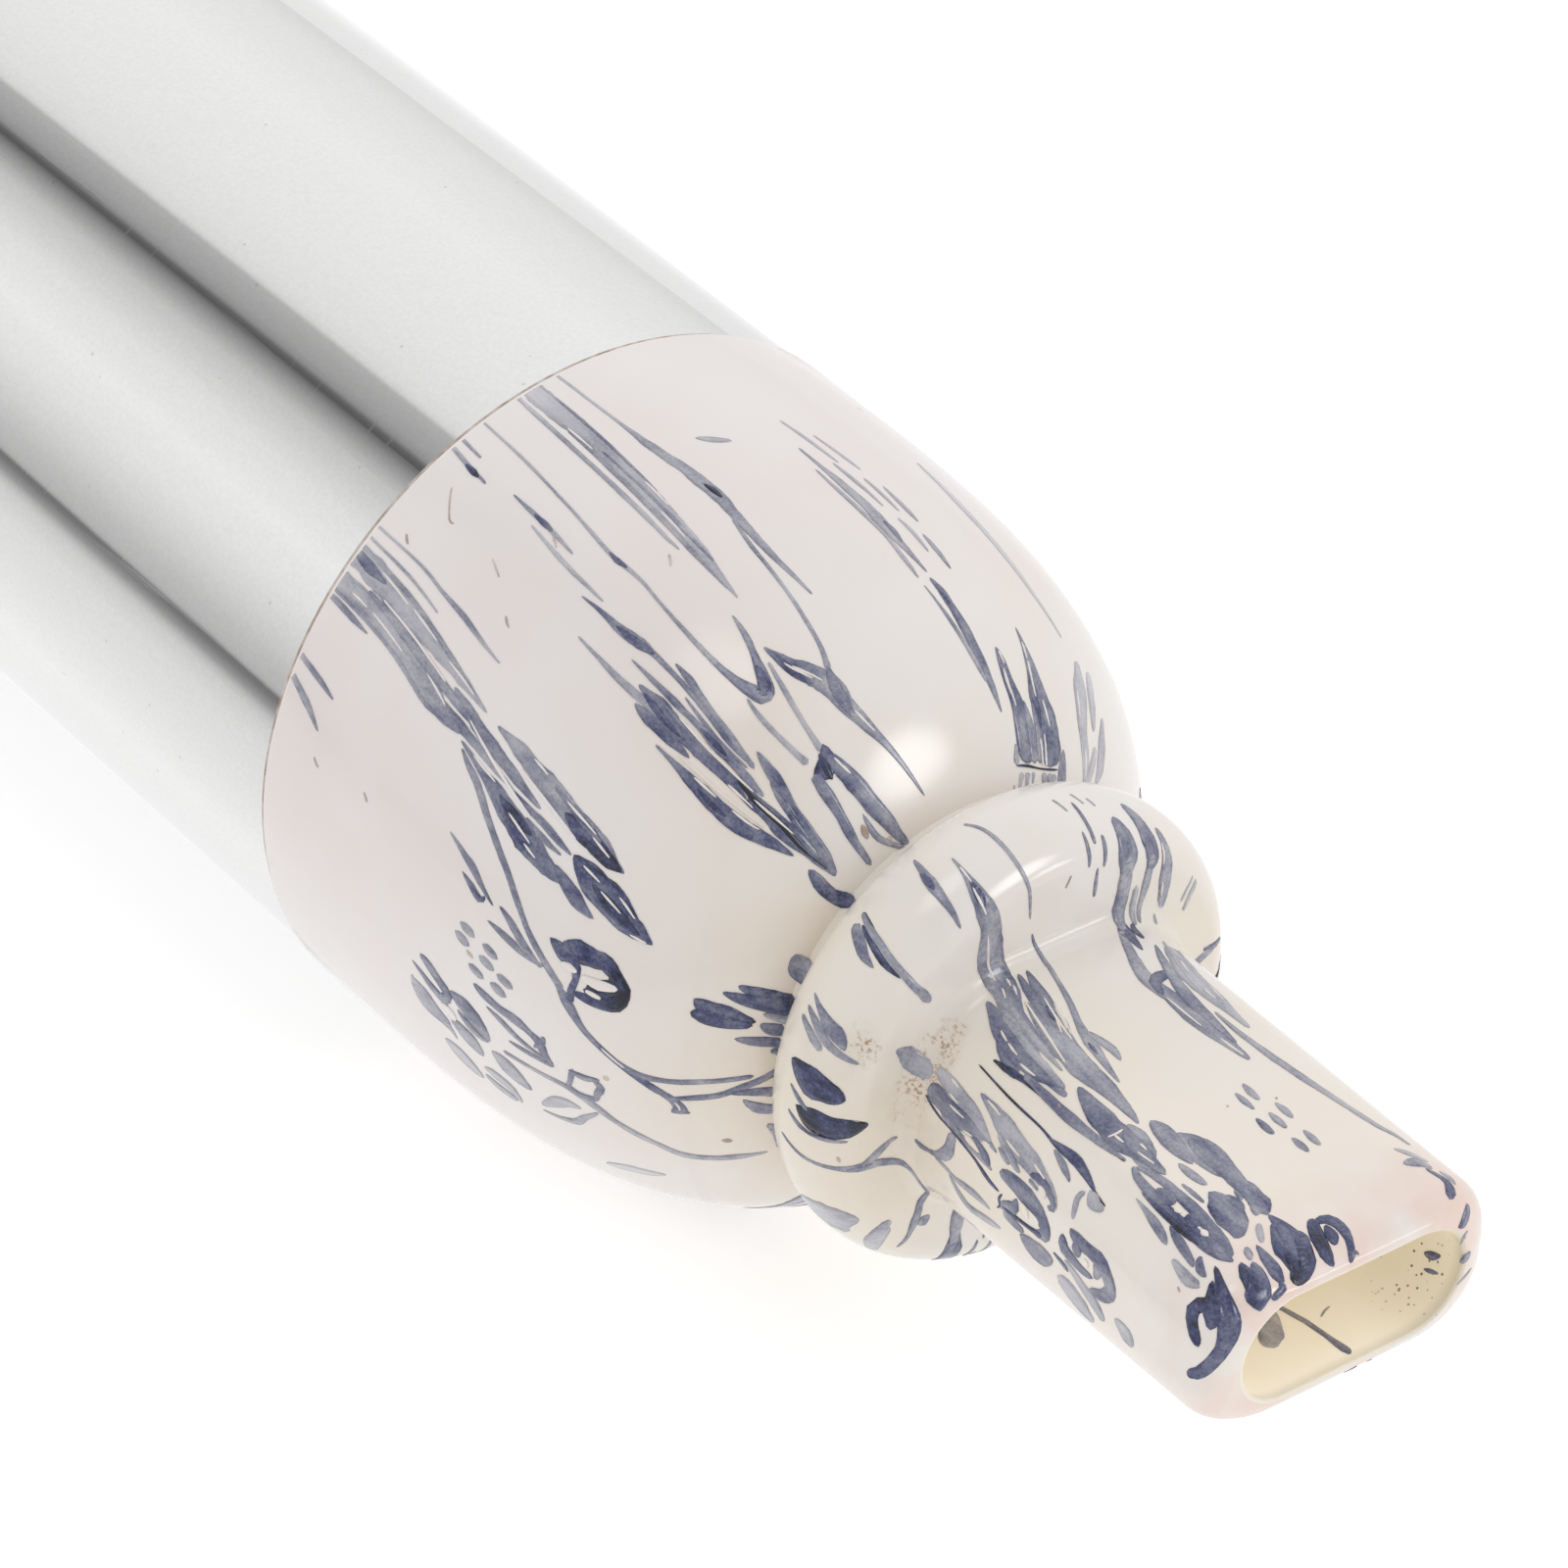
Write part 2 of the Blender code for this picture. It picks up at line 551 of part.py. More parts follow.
def main():
    clear_scene()
    ivory = material("ivory_plastic", (0.83, 0.79, 0.74), 0.18)
    silver = material("nickel_silver", (0.70, 0.70, 0.69), 0.12, 1.0)
    cork = material("cork", (0.55, 0.38, 0.22), 0.85)
    brass = material("reed_brass", (0.80, 0.62, 0.28), 0.25, 1.0)
    rubber = material("band_rubber", (0.05, 0.05, 0.05), 0.7)
    gasket = material("gasket", (0.75, 0.68, 0.50), 0.6)

    body_frame = joint_frame("upper_body_frame")
    head_slide = joint_frame("head_slide_frame", parent=body_frame)
    head_frame = joint_frame("head_frame", parent=head_slide)
    cap_slide = joint_frame("cap_slide_frame", parent=head_frame)
    cap_frame = joint_frame("cap_frame", parent=cap_slide)
    foot_slide = joint_frame("foot_slide_frame", parent=body_frame)
    foot_frame = joint_frame("foot_frame", parent=foot_slide)

    upper_body(ivory, body_frame)
    cork_ring("upper_cork", UPPER_TOP, UPPER_TOP + TENON_LENGTH, TENON_RADIUS, cork, body_frame)
    cork_ring("lower_cork", UPPER_END, UPPER_END - TENON_LENGTH, TENON_RADIUS, cork, body_frame)

    socket_collar(silver, head_slide)
    head_sleeve(silver, head_frame)
    wind_chamber(ivory, head_frame)
    reed_tube(ivory, head_frame)
    reed_tube_plug(ivory, head_frame)
    reed_seal(gasket, head_frame)
    reed_plate(brass, head_frame)
    reed_band("reed_band_front", PLATE_TOP - BAND_FROM_PLATE_END, rubber, head_frame)
    reed_band("reed_band_rear", PLATE_END + BAND_FROM_PLATE_END, rubber, head_frame)
    reed_tongue(brass, head_frame)

    cork_ring("cap_cork", GAP, -SPIGOT_LENGTH, SPIGOT_RADIUS, cork, cap_slide, HEAD_SIDES)
    mouthpiece_cap(ivory, cap_frame)

    middle_ferrule(silver, foot_slide)
    lower_body(ivory, foot_frame)
    foot_bell(ivory, foot_frame)
    foot_ferrule(silver, foot_frame)


main()
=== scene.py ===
"""A vertically blown bawu lying on its side: fine surfaces, finishes and printed pattern round its CAD frame.

Objects are in metres. The printed pattern is laid out like a drawing: stations in millimetres along a piece's
skin, angles in degrees round the pipe (0 towards +Y, 90 on top) and half widths in millimetres.
"""

import bisect
import math
import random

import bmesh
import bpy
from bpy.props import FloatProperty, FloatVectorProperty, IntProperty, PointerProperty
from bpy.types import Operator, Panel, PropertyGroup
from mathutils import Matrix, Vector, noise


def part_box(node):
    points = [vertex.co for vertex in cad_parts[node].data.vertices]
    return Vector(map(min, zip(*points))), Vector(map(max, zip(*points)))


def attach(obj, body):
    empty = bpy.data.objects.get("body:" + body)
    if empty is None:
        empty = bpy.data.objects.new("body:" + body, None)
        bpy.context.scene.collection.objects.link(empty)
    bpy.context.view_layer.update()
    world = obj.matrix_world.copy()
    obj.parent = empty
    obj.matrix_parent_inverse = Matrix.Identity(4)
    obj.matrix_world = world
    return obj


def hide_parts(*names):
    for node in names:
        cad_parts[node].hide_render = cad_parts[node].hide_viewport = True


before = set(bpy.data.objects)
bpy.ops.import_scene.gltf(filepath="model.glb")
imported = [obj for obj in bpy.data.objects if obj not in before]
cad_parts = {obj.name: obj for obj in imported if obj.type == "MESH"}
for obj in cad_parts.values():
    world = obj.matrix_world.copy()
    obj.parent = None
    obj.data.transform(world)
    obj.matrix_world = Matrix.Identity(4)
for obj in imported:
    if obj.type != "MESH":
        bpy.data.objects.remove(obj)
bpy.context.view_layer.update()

bl_info = {
    "name": "Bawu",
    "version": (1, 0, 0),
    "blender": (4, 5, 0),
    "location": "View3D > Sidebar > Bawu",
    "description": "Builds a vertically blown bawu round its packed frame",
    "category": "Add Mesh",
}

MM = 0.001
CAP_LOW, CAP_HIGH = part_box("mouthpiece_cap")
JOINT_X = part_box("head_sleeve")[1].x
AXIS_Z = (CAP_LOW.z + CAP_HIGH.z) / 2


def reach_of(node):
    """Where a CAD node ends and starts along the pipe, from the joint plane, and its radius."""
    low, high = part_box(node)
    return low.x - JOINT_X, high.x - JOINT_X, high.y


SLEEVE_END, _, _ = reach_of("head_sleeve")
COLLAR_END, COLLAR_TOP, COLLAR_RADIUS = reach_of("socket_collar")
UPPER_END, UPPER_TOP, _ = reach_of("upper_body")
RING_END, RING_TOP, RING_RADIUS = reach_of("middle_ferrule")
LOWER_END, _, _ = reach_of("lower_body")
BELL_END, BELL_TOP, _ = reach_of("foot_bell")
RIM_END, RIM_TOP, _ = reach_of("foot_ferrule")


def length(name, description, default):
    return FloatProperty(name=name, description=description, default=default, unit="LENGTH", min=0.0,
                         precision=5)


def tint(name, description, default):
    return FloatVectorProperty(name=name, description=description, default=default, subtype="COLOR",
                               size=3, min=0.0, max=1.0)


class BawuSizes(PropertyGroup):
    gap: length("Joint gap", "Visible gap between pieces that meet", 0.00008)
    edge: length("Edge", "Rounding of moulded and turned edges", 0.00025)
    wall: length("Wall", "Wall of the mouthpiece cap", 0.0020)
    dome_radius: length("Dome radius", "Radius of the cap's dome where it meets the metal", 0.01615)
    dome_straight: length("Dome band", "Straight band of the dome next to the metal", 0.0031)
    dome_length: length("Dome length", "Half length of the dome's oval", 0.0229)
    dome_fullness: FloatProperty(name="Dome fullness", description="2 gives an ellipse", default=3.0, min=2.0)
    neck_radius: length("Neck radius", "Radius in the crease between dome and bead", 0.0088)
    crease: length("Crease", "Width of the crease between dome and bead", 0.0006)
    bead_length: length("Bead length", "Length of the rounded bead", 0.0050)
    bead_radius: length("Bead radius", "Outer radius of the bead", 0.0105)
    beak_root_width: length("Beak root width", "Width of the beak next to the bead", 0.0134)
    beak_root_height: length("Beak root height", "Height of the beak next to the bead", 0.0108)
    beak_root_corner: length("Beak root corner", "Corner radius of the beak next to the bead", 0.0044)
    beak_tip_width: length("Beak tip width", "Width of the beak at the lips", 0.0147)
    beak_tip_height: length("Beak tip height", "Height of the beak at the lips", 0.0070)
    beak_tip_corner: length("Beak tip corner", "Corner radius of the beak at the lips", 0.0028)
    root_fillet: length("Root fillet", "Fillet between bead and beak", 0.0009)
    tip_round: length("Tip rounding", "Rounding of the beak's narrow ends at the lips", 0.0016)
    lip_round: length("Lip rounding", "Rounding of the beak's broad faces at the lips", 0.0009)
    slot_width: length("Slot width", "Width of the slot", 0.0111)
    slot_height: length("Slot height", "Height of the slot", 0.0049)
    slot_edge: length("Slot edge", "Rounding of the slot's rim", 0.00012)
    beak_wall: length("Beak wall", "Wall of the beak at its root", 0.0015)
    spigot_radius: length("Spigot radius", "Radius of the cap's spigot", 0.0136)
    spigot_bore: length("Spigot bore", "Bore of the cap's spigot", 0.0108)
    cork_groove: length("Cork groove", "Depth of the grooves that hold the corks", 0.0011)
    tenon_lip: length("Tenon lip", "Lips at both ends of a cork's groove", 0.0020)
    sleeve_radius: length("Sleeve radius", "Outer radius of the metal sleeve", 0.0160)
    sleeve_wall: length("Sleeve wall", "Wall of the metal sleeve", 0.0006)
    chamber_radius: length("Chamber radius", "Outer radius of the chamber inside the sleeve", 0.0151)
    chamber_bore: length("Chamber bore", "Bore of the chamber", 0.0139)
    chamber_depth: length("Chamber depth", "Depth of the chamber from the joint", 0.0570)
    shoulder_rim: length("Shoulder rim", "Straight rim of the shoulder", 0.0030)
    shoulder_foot: length("Shoulder foot", "Radius of the shoulder's narrow end", 0.0129)
    tube_hole: length("Tube hole", "Hole in the chamber's floor for the reed tube", 0.0088)
    socket_radius: length("Socket radius", "Radius of the sockets", 0.0100)
    tenon_radius: length("Tenon radius", "Radius of the tenons", 0.0097)
    tenon_length: length("Tenon length", "Length of the corked tenons", 0.0200)
    bore_radius: length("Bore radius", "Radius of the pipe's bore", 0.0065)
    body_radius: length("Body radius", "Radius of the pipe", 0.0120)
    bead_ring: length("End bead height", "Height of the turned beads at the pipe's ends", 0.0006)
    bead_ring_length: length("End bead length", "Length of the turned beads at the pipe's ends", 0.0040)
    hole_radius: length("Finger hole radius", "Radius of the finger holes", 0.0040)
    vent_radius: length("Vent radius", "Radius of the two side vents", 0.0025)
    hole_edge: length("Hole edge", "Rounding of the holes' rims", 0.0003)
    foot_waist: length("Foot waist", "Straight part above the flare", 0.0080)
    foot_socket: length("Foot socket", "Depth of the foot's socket", 0.0120)
    foot_mouth: length("Foot mouth", "Radius of the foot's mouth", 0.0095)
    sides: IntProperty(name="Sides", description="Steps round each turned piece", default=144, min=16)


class BawuColours(PropertyGroup):
    ivory_pink: tint("Ivory, pink", "Ivory plastic of the dome", (0.842, 0.771, 0.752))
    ivory_cream: tint("Ivory, cream", "Ivory plastic of bead and beak", (0.848, 0.768, 0.660))
    ivory_cloud: tint("Ivory, cloud", "Paler clouds in the plastic", (0.868, 0.838, 0.822))
    ivory_beak: tint("Ivory, beak", "Ivory plastic of the beak's flat face", (0.950, 0.875, 0.812))
    blush: tint("Blush", "Pink blush at the lips", (0.860, 0.640, 0.560))
    passage: tint("Passage", "Inside of the mouthpiece", (0.885, 0.825, 0.705))
    # Painted shade: the darker olive of the passage deeper in and towards its far side
    passage_in_shade: tint("Passage, deep", "Inside of the mouthpiece, deeper in", (0.600, 0.520, 0.360))
    ink_ghost: tint("Ink, ghost", "Thinnest blue-grey wash", (0.640, 0.625, 0.665))
    ink_faint: tint("Ink, faint", "Thin blue ink", (0.440, 0.436, 0.482))
    ink_mid: tint("Ink, middle", "Blue-grey ink", (0.238, 0.243, 0.318))
    ink_deep: tint("Ink, deep", "Pooled navy ink", (0.062, 0.073, 0.166))
    ink_black: tint("Ink, black", "Dark edges and cracks of the ink film", (0.018, 0.020, 0.035))
    nickel: tint("Nickel silver", "Polished metal", (0.860, 0.860, 0.855))
    grime: tint("Grime", "Rusty specks on the bead and by the beak", (0.400, 0.225, 0.095))
    stain: tint("Stain", "Brown residue in joints and creases", (0.360, 0.220, 0.140))
    cork_pale: tint("Cork, pale", "Pale grain of the cork", (0.520, 0.330, 0.180))
    cork_dark: tint("Cork, dark", "Dark pores of the cork", (0.200, 0.105, 0.050))
    brass: tint("Brass", "Reed plate and tongue", (0.780, 0.580, 0.240))
    rubber: tint("Rubber", "Reed bands", (0.030, 0.030, 0.032))
    gasket: tint("Gasket", "Seal under the reed plate", (0.600, 0.520, 0.360))


def settings(context):
    return context.scene.bawu_sizes, context.scene.bawu_colours


# Node helpers

def group_tree(name, inputs, output):
    """A shader node group of number sockets, one of them an output; inputs give their defaults."""
    tree = bpy.data.node_groups.new(name, "ShaderNodeTree")
    number = "NodeSocketFloat"
    for socket, default in inputs:
        tree.interface.new_socket(socket, in_out="INPUT", socket_type=number).default_value = default
    tree.interface.new_socket(output, in_out="OUTPUT", socket_type=number)
    return tree, tree.nodes.new("NodeGroupInput").outputs, tree.nodes.new("NodeGroupOutput").inputs


class Wiring:
    """Adds nodes to one tree and joins them up."""

    def __init__(self, tree):
        self.tree = tree

    def node(self, kind, **values):
        made = self.tree.nodes.new("ShaderNode" + kind)
        for key, value in values.items():
            setattr(made, key, value)
        return made

    def feed(self, socket, source):
        if isinstance(source, bpy.types.NodeSocket):
            self.tree.links.new(source, socket)
        elif socket.type == "RGBA":
            socket.default_value = rgba(source)
        else:
            socket.default_value = source

    def fed(self, made, *sources, **named):
        """Feeds a node's sockets, the first ones in turn and others by name, and returns the node."""
        for socket, source in [*zip(made.inputs, sources), *((made.inputs[k], v) for k, v in named.items())]:
            self.feed(socket, source)
        return made

    def place(self):
        """Where a point of the piece lies, in metres."""
        return self.node("TexCoord").outputs["Object"]

    def parts(self, vector):
        return self.fed(self.node("SeparateXYZ"), vector).outputs

    def maths(self, operation, *sources):
        return self.fed(self.node("Math", operation=operation), *sources).outputs[0]

    def times(self, first, second):
        return self.maths("MULTIPLY", first, second)

    def plus(self, first, second):
        return self.maths("ADD", first, second)

    def swing(self, value, size):
        """A noise round a half, made to swing round nought."""
        return self.times(self.maths("SUBTRACT", value, 0.5), size)

    def vectors(self, operation, first, second):
        """A value of two vectors, such as their distance or dot product."""
        return self.fed(self.node("VectorMath", operation=operation), first, second).outputs["Value"]

    def spread(self, value, low, high, to_low=0.0, to_high=1.0, **kind):
        return self.fed(self.node("MapRange", **kind), value, low, high, to_low, to_high).outputs[0]

    def mix(self, share, first, second):
        return self.fed(self.node("Mix", data_type="RGBA"), Factor=share, A=first, B=second).outputs["Result"]

    def noise(self, vector, scale, detail=2.0, roughness=0.5):
        made = self.fed(self.node("TexNoise"), Vector=vector, Scale=scale, Detail=detail, Roughness=roughness)
        return made.outputs["Fac"]

    def stretched(self, vector, scale, turn=(0.0, 0.0, 0.0)):
        return self.fed(self.node("Mapping"), Vector=vector, Scale=scale, Rotation=turn).outputs["Vector"]

    def effect(self, name, **sources):
        """Places a shared node group, built when it is first asked for, and returns what it puts out."""
        made = self.node("Group")
        made.node_tree = bpy.data.node_groups.get(name) or EFFECTS[name](name)
        return self.fed(made, **{key.capitalize(): source for key, source in sources.items()}).outputs[0]


def rgba(colour):
    return (*colour, 1.0)


def shade(colour, factor, lift=0.0):
    return [min(1.0, factor * c + lift) for c in colour]


def specks_group(name):
    """Small scattered spots, as moulded plastic and worn metal show."""
    tree, given, made = group_tree(name, [("Scale", 900.0), ("Size", 0.12), ("Share", 0.5)], "Mask")
    w = Wiring(tree)
    cells = w.fed(w.node("TexVoronoi"), Vector=w.place(), Scale=given["Scale"]).outputs
    near = w.maths("LESS_THAN", cells["Distance"], given["Size"])
    picked = w.fed(w.node("SeparateColor"), cells["Color"]).outputs[0]
    w.feed(made["Mask"], w.times(near, w.maths("LESS_THAN", picked, given["Share"])))
    return tree


def clouds_group(name):
    """Soft uneven patches."""
    tree, given, made = group_tree(name, [("Scale", 120.0), ("Low", 0.4), ("High", 0.65)], "Mask")
    w = Wiring(tree)
    w.feed(made["Mask"], w.spread(w.noise(w.place(), given["Scale"], 3.0), given["Low"], given["High"]))
    return tree


def hairlines_group(name):
    """Fine scratches that cross in two directions, mostly round and along the pipe."""
    tree, given, made = group_tree(name, [("Amount", 0.5)], "Height")
    w = Wiring(tree)
    place = w.place()
    along = w.noise(w.stretched(place, (90.0, 2600.0, 2600.0), (0.05, 0.14, 0.20)), 1.0)
    across = w.noise(w.stretched(place, (2400.0, 160.0, 160.0), (0.0, 0.35, 0.50)), 1.0)
    fine = w.maths("MAXIMUM", w.spread(along, 0.62, 0.72), w.spread(across, 0.66, 0.74))
    w.feed(made["Height"], w.times(fine, given["Amount"]))
    return tree


EFFECTS = {"Scattered specks": specks_group, "Soft clouds": clouds_group,
           "Hairline scratches": hairlines_group}


class Finish(Wiring):
    """The nodes of a new material with one Principled shader."""

    def __init__(self, name, roughness, metallic=0.0):
        self.material = bpy.data.materials.new(name)
        self.material.use_nodes = True
        super().__init__(self.material.node_tree)
        self.shader = self.tree.nodes["Principled BSDF"]
        self.look(roughness=roughness, metallic=metallic)

    def look(self, **sources):
        """Feeds the shader's sockets: base_color stands for Base Color."""
        for key, source in sources.items():
            self.feed(self.shader.inputs[key.replace("_", " ").title()], source)

    def bump(self, height, strength, distance):
        bump = self.fed(self.node("Bump"), Height=height, Strength=strength, Distance=distance)
        self.look(normal=bump.outputs["Normal"])


# Finishes

# Where the cap's colour changes, in metres: cream from the dome on, the beak's own and pink at the lips, and
# in the passage the painted shade deep inside, the painted glow from the rim on, and the painted shade and
# specks towards the far end
CREAM, BEAK, BLUSH = (0.012, 0.027), (0.034, 0.040), (0.0445, 0.0485)
PASSAGE_DEPTH_SHADE, PASSAGE_GLOW_START = (0.049, 0.030), (0.0489, 0.0484)
PASSAGE_FAR_SHADE, PASSAGE_SPECKS = (0.0015, 0.006), (0.0024, 0.001)
# Tones of the ink ramp, from 0 for ghost to 1 for black
TONE_FAINT, TONE_MID, TONE_DEEP = 0.385, 0.600, 0.840
TONE_SPAN, TONE_START = 1.3, 0.3


def from_joint(reach):
    return [JOINT_X + place for place in reach]


def ivory_plastic(colours, skin):
    """Glossy ivory moulding, pink-white by the joint and cream past it, cloudy, with red specks and grime."""
    w = Finish("Ivory plastic", 0.12)
    place = w.place()
    x = w.parts(place)["X"]
    base = w.mix(w.spread(x, *from_joint(CREAM)), colours.ivory_pink, colours.ivory_cream)
    base = w.mix(w.times(w.spread(x, *from_joint(BEAK)), 0.55), base, colours.ivory_beak)
    pale = w.effect("Soft clouds", scale=75.0, low=0.40, high=0.62)
    base = w.mix(w.times(pale, 0.75), base, colours.ivory_cloud)
    blush = w.times(w.spread(x, *from_joint(BLUSH)), w.effect("Soft clouds", scale=260.0, low=0.35, high=0.6))
    base = w.mix(w.times(blush, 0.75), base, colours.blush)
    red = w.effect("Scattered specks", scale=420.0, size=0.07, share=0.10)
    base = w.mix(w.times(red, 0.45), base, colours.stain)
    dirt = 0.0
    for station, angle, reach in GRIME:
        near = w.vectors("DISTANCE", place, skin.point(station, angle))
        dirt = w.maths("MAXIMUM", w.spread(near, reach * MM, reach * MM * 0.2), dirt)
    crumbs = w.spread(w.noise(place, 5200.0, 4.0, 0.7), 0.48, 0.62)
    crumbs = w.maths("MAXIMUM", w.times(crumbs, w.spread(w.noise(place, 1100.0), 0.38, 0.54)), 0.10)
    base = w.mix(w.times(dirt, crumbs), base, colours.grime)
    w.look(base_color=base, roughness=w.spread(w.noise(place, 300.0, 3.0), 0.3, 0.7, 0.10, 0.16))
    w.bump(w.noise(place, 1500.0, 3.0), 0.05, 0.00004)
    return w.material


def passage_plastic(colours, corner):
    """Unprinted inside of the mouthpiece: cream at the lips, olive deeper in and towards the far side as
    painted shade, with black specks; a painted glow stands in for light that comes through the thin walls."""
    w = Finish("Mouthpiece passage", 0.35)
    place = w.place()
    axis = w.parts(place)
    # Painted shade: darker deeper in along the passage and towards its far side
    far_side_shade = w.times(w.spread(axis["Y"], *PASSAGE_FAR_SHADE), 0.60)
    painted_shade = w.maths("MAXIMUM", w.spread(axis["X"], *from_joint(PASSAGE_DEPTH_SHADE)), far_side_shade)
    base = w.mix(painted_shade, colours.passage, colours.passage_in_shade)
    black = w.effect("Scattered specks", scale=5000.0, size=0.30, share=0.24)
    patch = w.spread(w.vectors("DISTANCE", place, corner), *PASSAGE_SPECKS)
    base = w.mix(w.times(w.times(black, patch), 0.8), base, colours.ink_black)
    # Painted glow: the passage emits light of its own colour, none at the rim
    inside = w.spread(axis["X"], *from_joint(PASSAGE_GLOW_START))
    w.look(base_color=base, emission_color=w.mix(inside, colours.ink_black, base), emission_strength=0.22,
           roughness=w.spread(w.noise(place, 400.0), 0.3, 0.7, 0.3, 0.5))
    return w.material


def printed_ink(colours):
    """Transfer-printed ink under the gloss: its tone attribute runs from faint to navy to black."""
    w = Finish("Printed ink", 0.2)
    place = w.place()
    depth = w.node("Attribute", attribute_name="tone").outputs["Fac"]
    streaks = w.noise(w.stretched(place, (420.0, 1500.0, 1500.0)), 1.0, 3.0, 0.6)
    grain, patches = w.noise(place, 7000.0, 2.0, 0.7), w.noise(place, 330.0)
    for unevenness, size in ((streaks, 0.95), (grain, 0.50), (patches, 0.75)):
        depth = w.plus(depth, w.swing(unevenness, size))
    ramp = w.node("ValToRGB")
    stops = ramp.color_ramp.elements
    for position in (TONE_FAINT, TONE_MID, TONE_DEEP):
        stops.new(position)
    for stop, colour in zip(stops, (colours.ink_ghost, colours.ink_faint, colours.ink_mid, colours.ink_deep,
                                    colours.ink_black)):
        stop.color = rgba(colour)
    w.feed(ramp.inputs[0], w.maths("MULTIPLY_ADD", depth, 1 / TONE_SPAN, TONE_START / TONE_SPAN))
    w.look(base_color=ramp.outputs["Color"], roughness=w.spread(w.noise(place, 500.0), 0.3, 0.7, 0.10, 0.18))
    return w.material


def stain_brown(colours):
    w = Finish("Brown residue", 0.6)
    thin = w.spread(w.noise(w.place(), 1600.0, 3.0), 0.35, 0.65)
    w.look(base_color=w.mix(thin, shade(colours.stain, 0.75, 0.14), shade(colours.stain, 0.50, 0.47)))
    return w.material


def polished_nickel(colours):
    """Polished nickel silver with fine handling scratches, nicks and a faint milky mottling."""
    w = Finish("Polished nickel silver", 0.1, 1.0)
    place = w.place()
    mottle = w.spread(w.noise(place, 700.0, 4.0, 0.65), 0.3, 0.75, 0.015, 0.030)
    grain = w.noise(place, 5200.0, 3.0, 0.6)
    base = w.mix(w.spread(grain, 0.35, 0.7), colours.nickel, shade(colours.nickel, 0.94))
    nicks = w.effect("Scattered specks", scale=900.0, size=0.07, share=0.16)
    scratches = w.effect("Hairline scratches", amount=0.5)
    w.look(base_color=w.mix(nicks, base, shade(colours.nickel, 0.78)),
           roughness=w.maths("MULTIPLY_ADD", scratches, 0.16, mottle))
    w.bump(w.plus(w.plus(scratches, nicks), w.times(grain, 0.15)), 0.04, 0.00002)
    return w.material


def cork_bark(colours):
    w = Finish("Greased cork", 0.75)
    grain = w.noise(w.stretched(w.place(), (500.0, 900.0, 900.0)), 1.0, 4.0, 0.65)
    pores = w.effect("Scattered specks", scale=1500.0, size=0.28, share=0.35)
    base = w.mix(w.spread(grain, 0.35, 0.65), colours.cork_pale, colours.cork_dark)
    w.look(base_color=w.mix(w.times(pores, 0.7), base, colours.cork_dark))
    w.bump(w.maths("SUBTRACT", grain, w.times(pores, 0.5)), 0.5, 0.0001)
    return w.material


def reed_brass(colours):
    w = Finish("Reed brass", 0.3, 1.0)
    tarnish = w.effect("Soft clouds", scale=400.0, low=0.4, high=0.7)
    w.look(base_color=w.mix(tarnish, colours.brass, shade(colours.brass, 0.7)),
           roughness=w.spread(tarnish, 0.0, 1.0, 0.22, 0.42))
    w.bump(w.effect("Hairline scratches", amount=1.0), 0.2, 0.00003)
    return w.material


def soft_sheet(name, colour, roughness, scale):
    """Rubber or gasket: a dull surface with a fine uneven grain."""
    w = Finish(name, roughness)
    grain = w.noise(w.place(), scale, 3.0)
    w.look(base_color=w.mix(w.spread(grain, 0.3, 0.7), colour, shade(colour, 1.35, 0.01)))
    w.bump(grain, 0.3, 0.00005)
    return w.material


def finish(key, context):
    """Makes the material of that key."""
    sizes, colours = settings(context)
    makers = {
        "ivory": lambda: ivory_plastic(colours, printed_skin(sizes)),
        "passage": lambda: passage_plastic(colours, Skin(passage_sections(sizes)).point(*SPECK_PLACE)),
        "ink": lambda: printed_ink(colours),
        "stain": lambda: stain_brown(colours),
        "nickel": lambda: polished_nickel(colours),
        "cork": lambda: cork_bark(colours),
        "brass": lambda: reed_brass(colours),
        "rubber": lambda: soft_sheet("Black rubber", colours.rubber, 0.65, 2500.0),
        "gasket": lambda: soft_sheet("Gasket film", colours.gasket, 0.55, 1800.0),
    }
    return makers[key]()


def finished(key, context):
    """The material of that key, made once for the scene."""
    known = [m for m in bpy.data.materials if m.get("bawu_finish") == key]
    if known:
        return known[0]
    made = finish(key, context)
    made["bawu_finish"] = key
    return made


# Shapes

# Steps of the cap's rounded edge, its dome and bead, the fillet, the beak and its lips, and inside of the
# slot's rim, the passage behind it and the dome
EDGE_STEPS, DOME_STEPS, BEAD_STEPS, FILLET_STEPS, BEAK_STEPS, LIP_STEPS = 4, 72, 28, 8, 28, 12
RIM_STEPS, PASSAGE_STEPS, INNER_STEPS = 5, 14, 24
# Edges sharper than this show as edges, and points closer than this in metres are one
SMOOTH_ANGLE, WELD = math.radians(32), 2e-7


def section_point(section, share):
    """Point of a section at that share of its outline, counted from +Y over the top.
    A section is (place, half width, half height, corner radius), a rounded rectangle round the axis; places
    along the pipe are counted from the joint plane, positive towards the lips."""
    x, half_width, half_height, corner = section
    corner = min(corner, half_width, half_height)
    quarter = (share * 4) % 4
    turn = int(quarter)
    along = quarter - turn
    if turn % 2:
        along = 1 - along
    side, arc, top = half_height - corner, math.pi / 2 * corner, half_width - corner
    distance = along * (side + arc + top)
    if distance <= side:
        y, z = half_width, distance
    elif distance <= side + arc:
        angle = (distance - side) / corner
        y, z = top + corner * math.cos(angle), side + corner * math.sin(angle)
    else:
        y, z = top - (distance - side - arc), half_height
    return Vector((JOINT_X + x, -y if turn in (1, 2) else y, AXIS_Z + (-z if turn >= 2 else z)))


def circle(x, radius):
    return (x, radius, radius, radius)


def circles(points):
    return [circle(*point) for point in points]


def quarter_turn(steps):
    """Angles in radians after each step of a quarter turn."""
    return [math.radians(90 * i / steps) for i in range(1, steps + 1)]


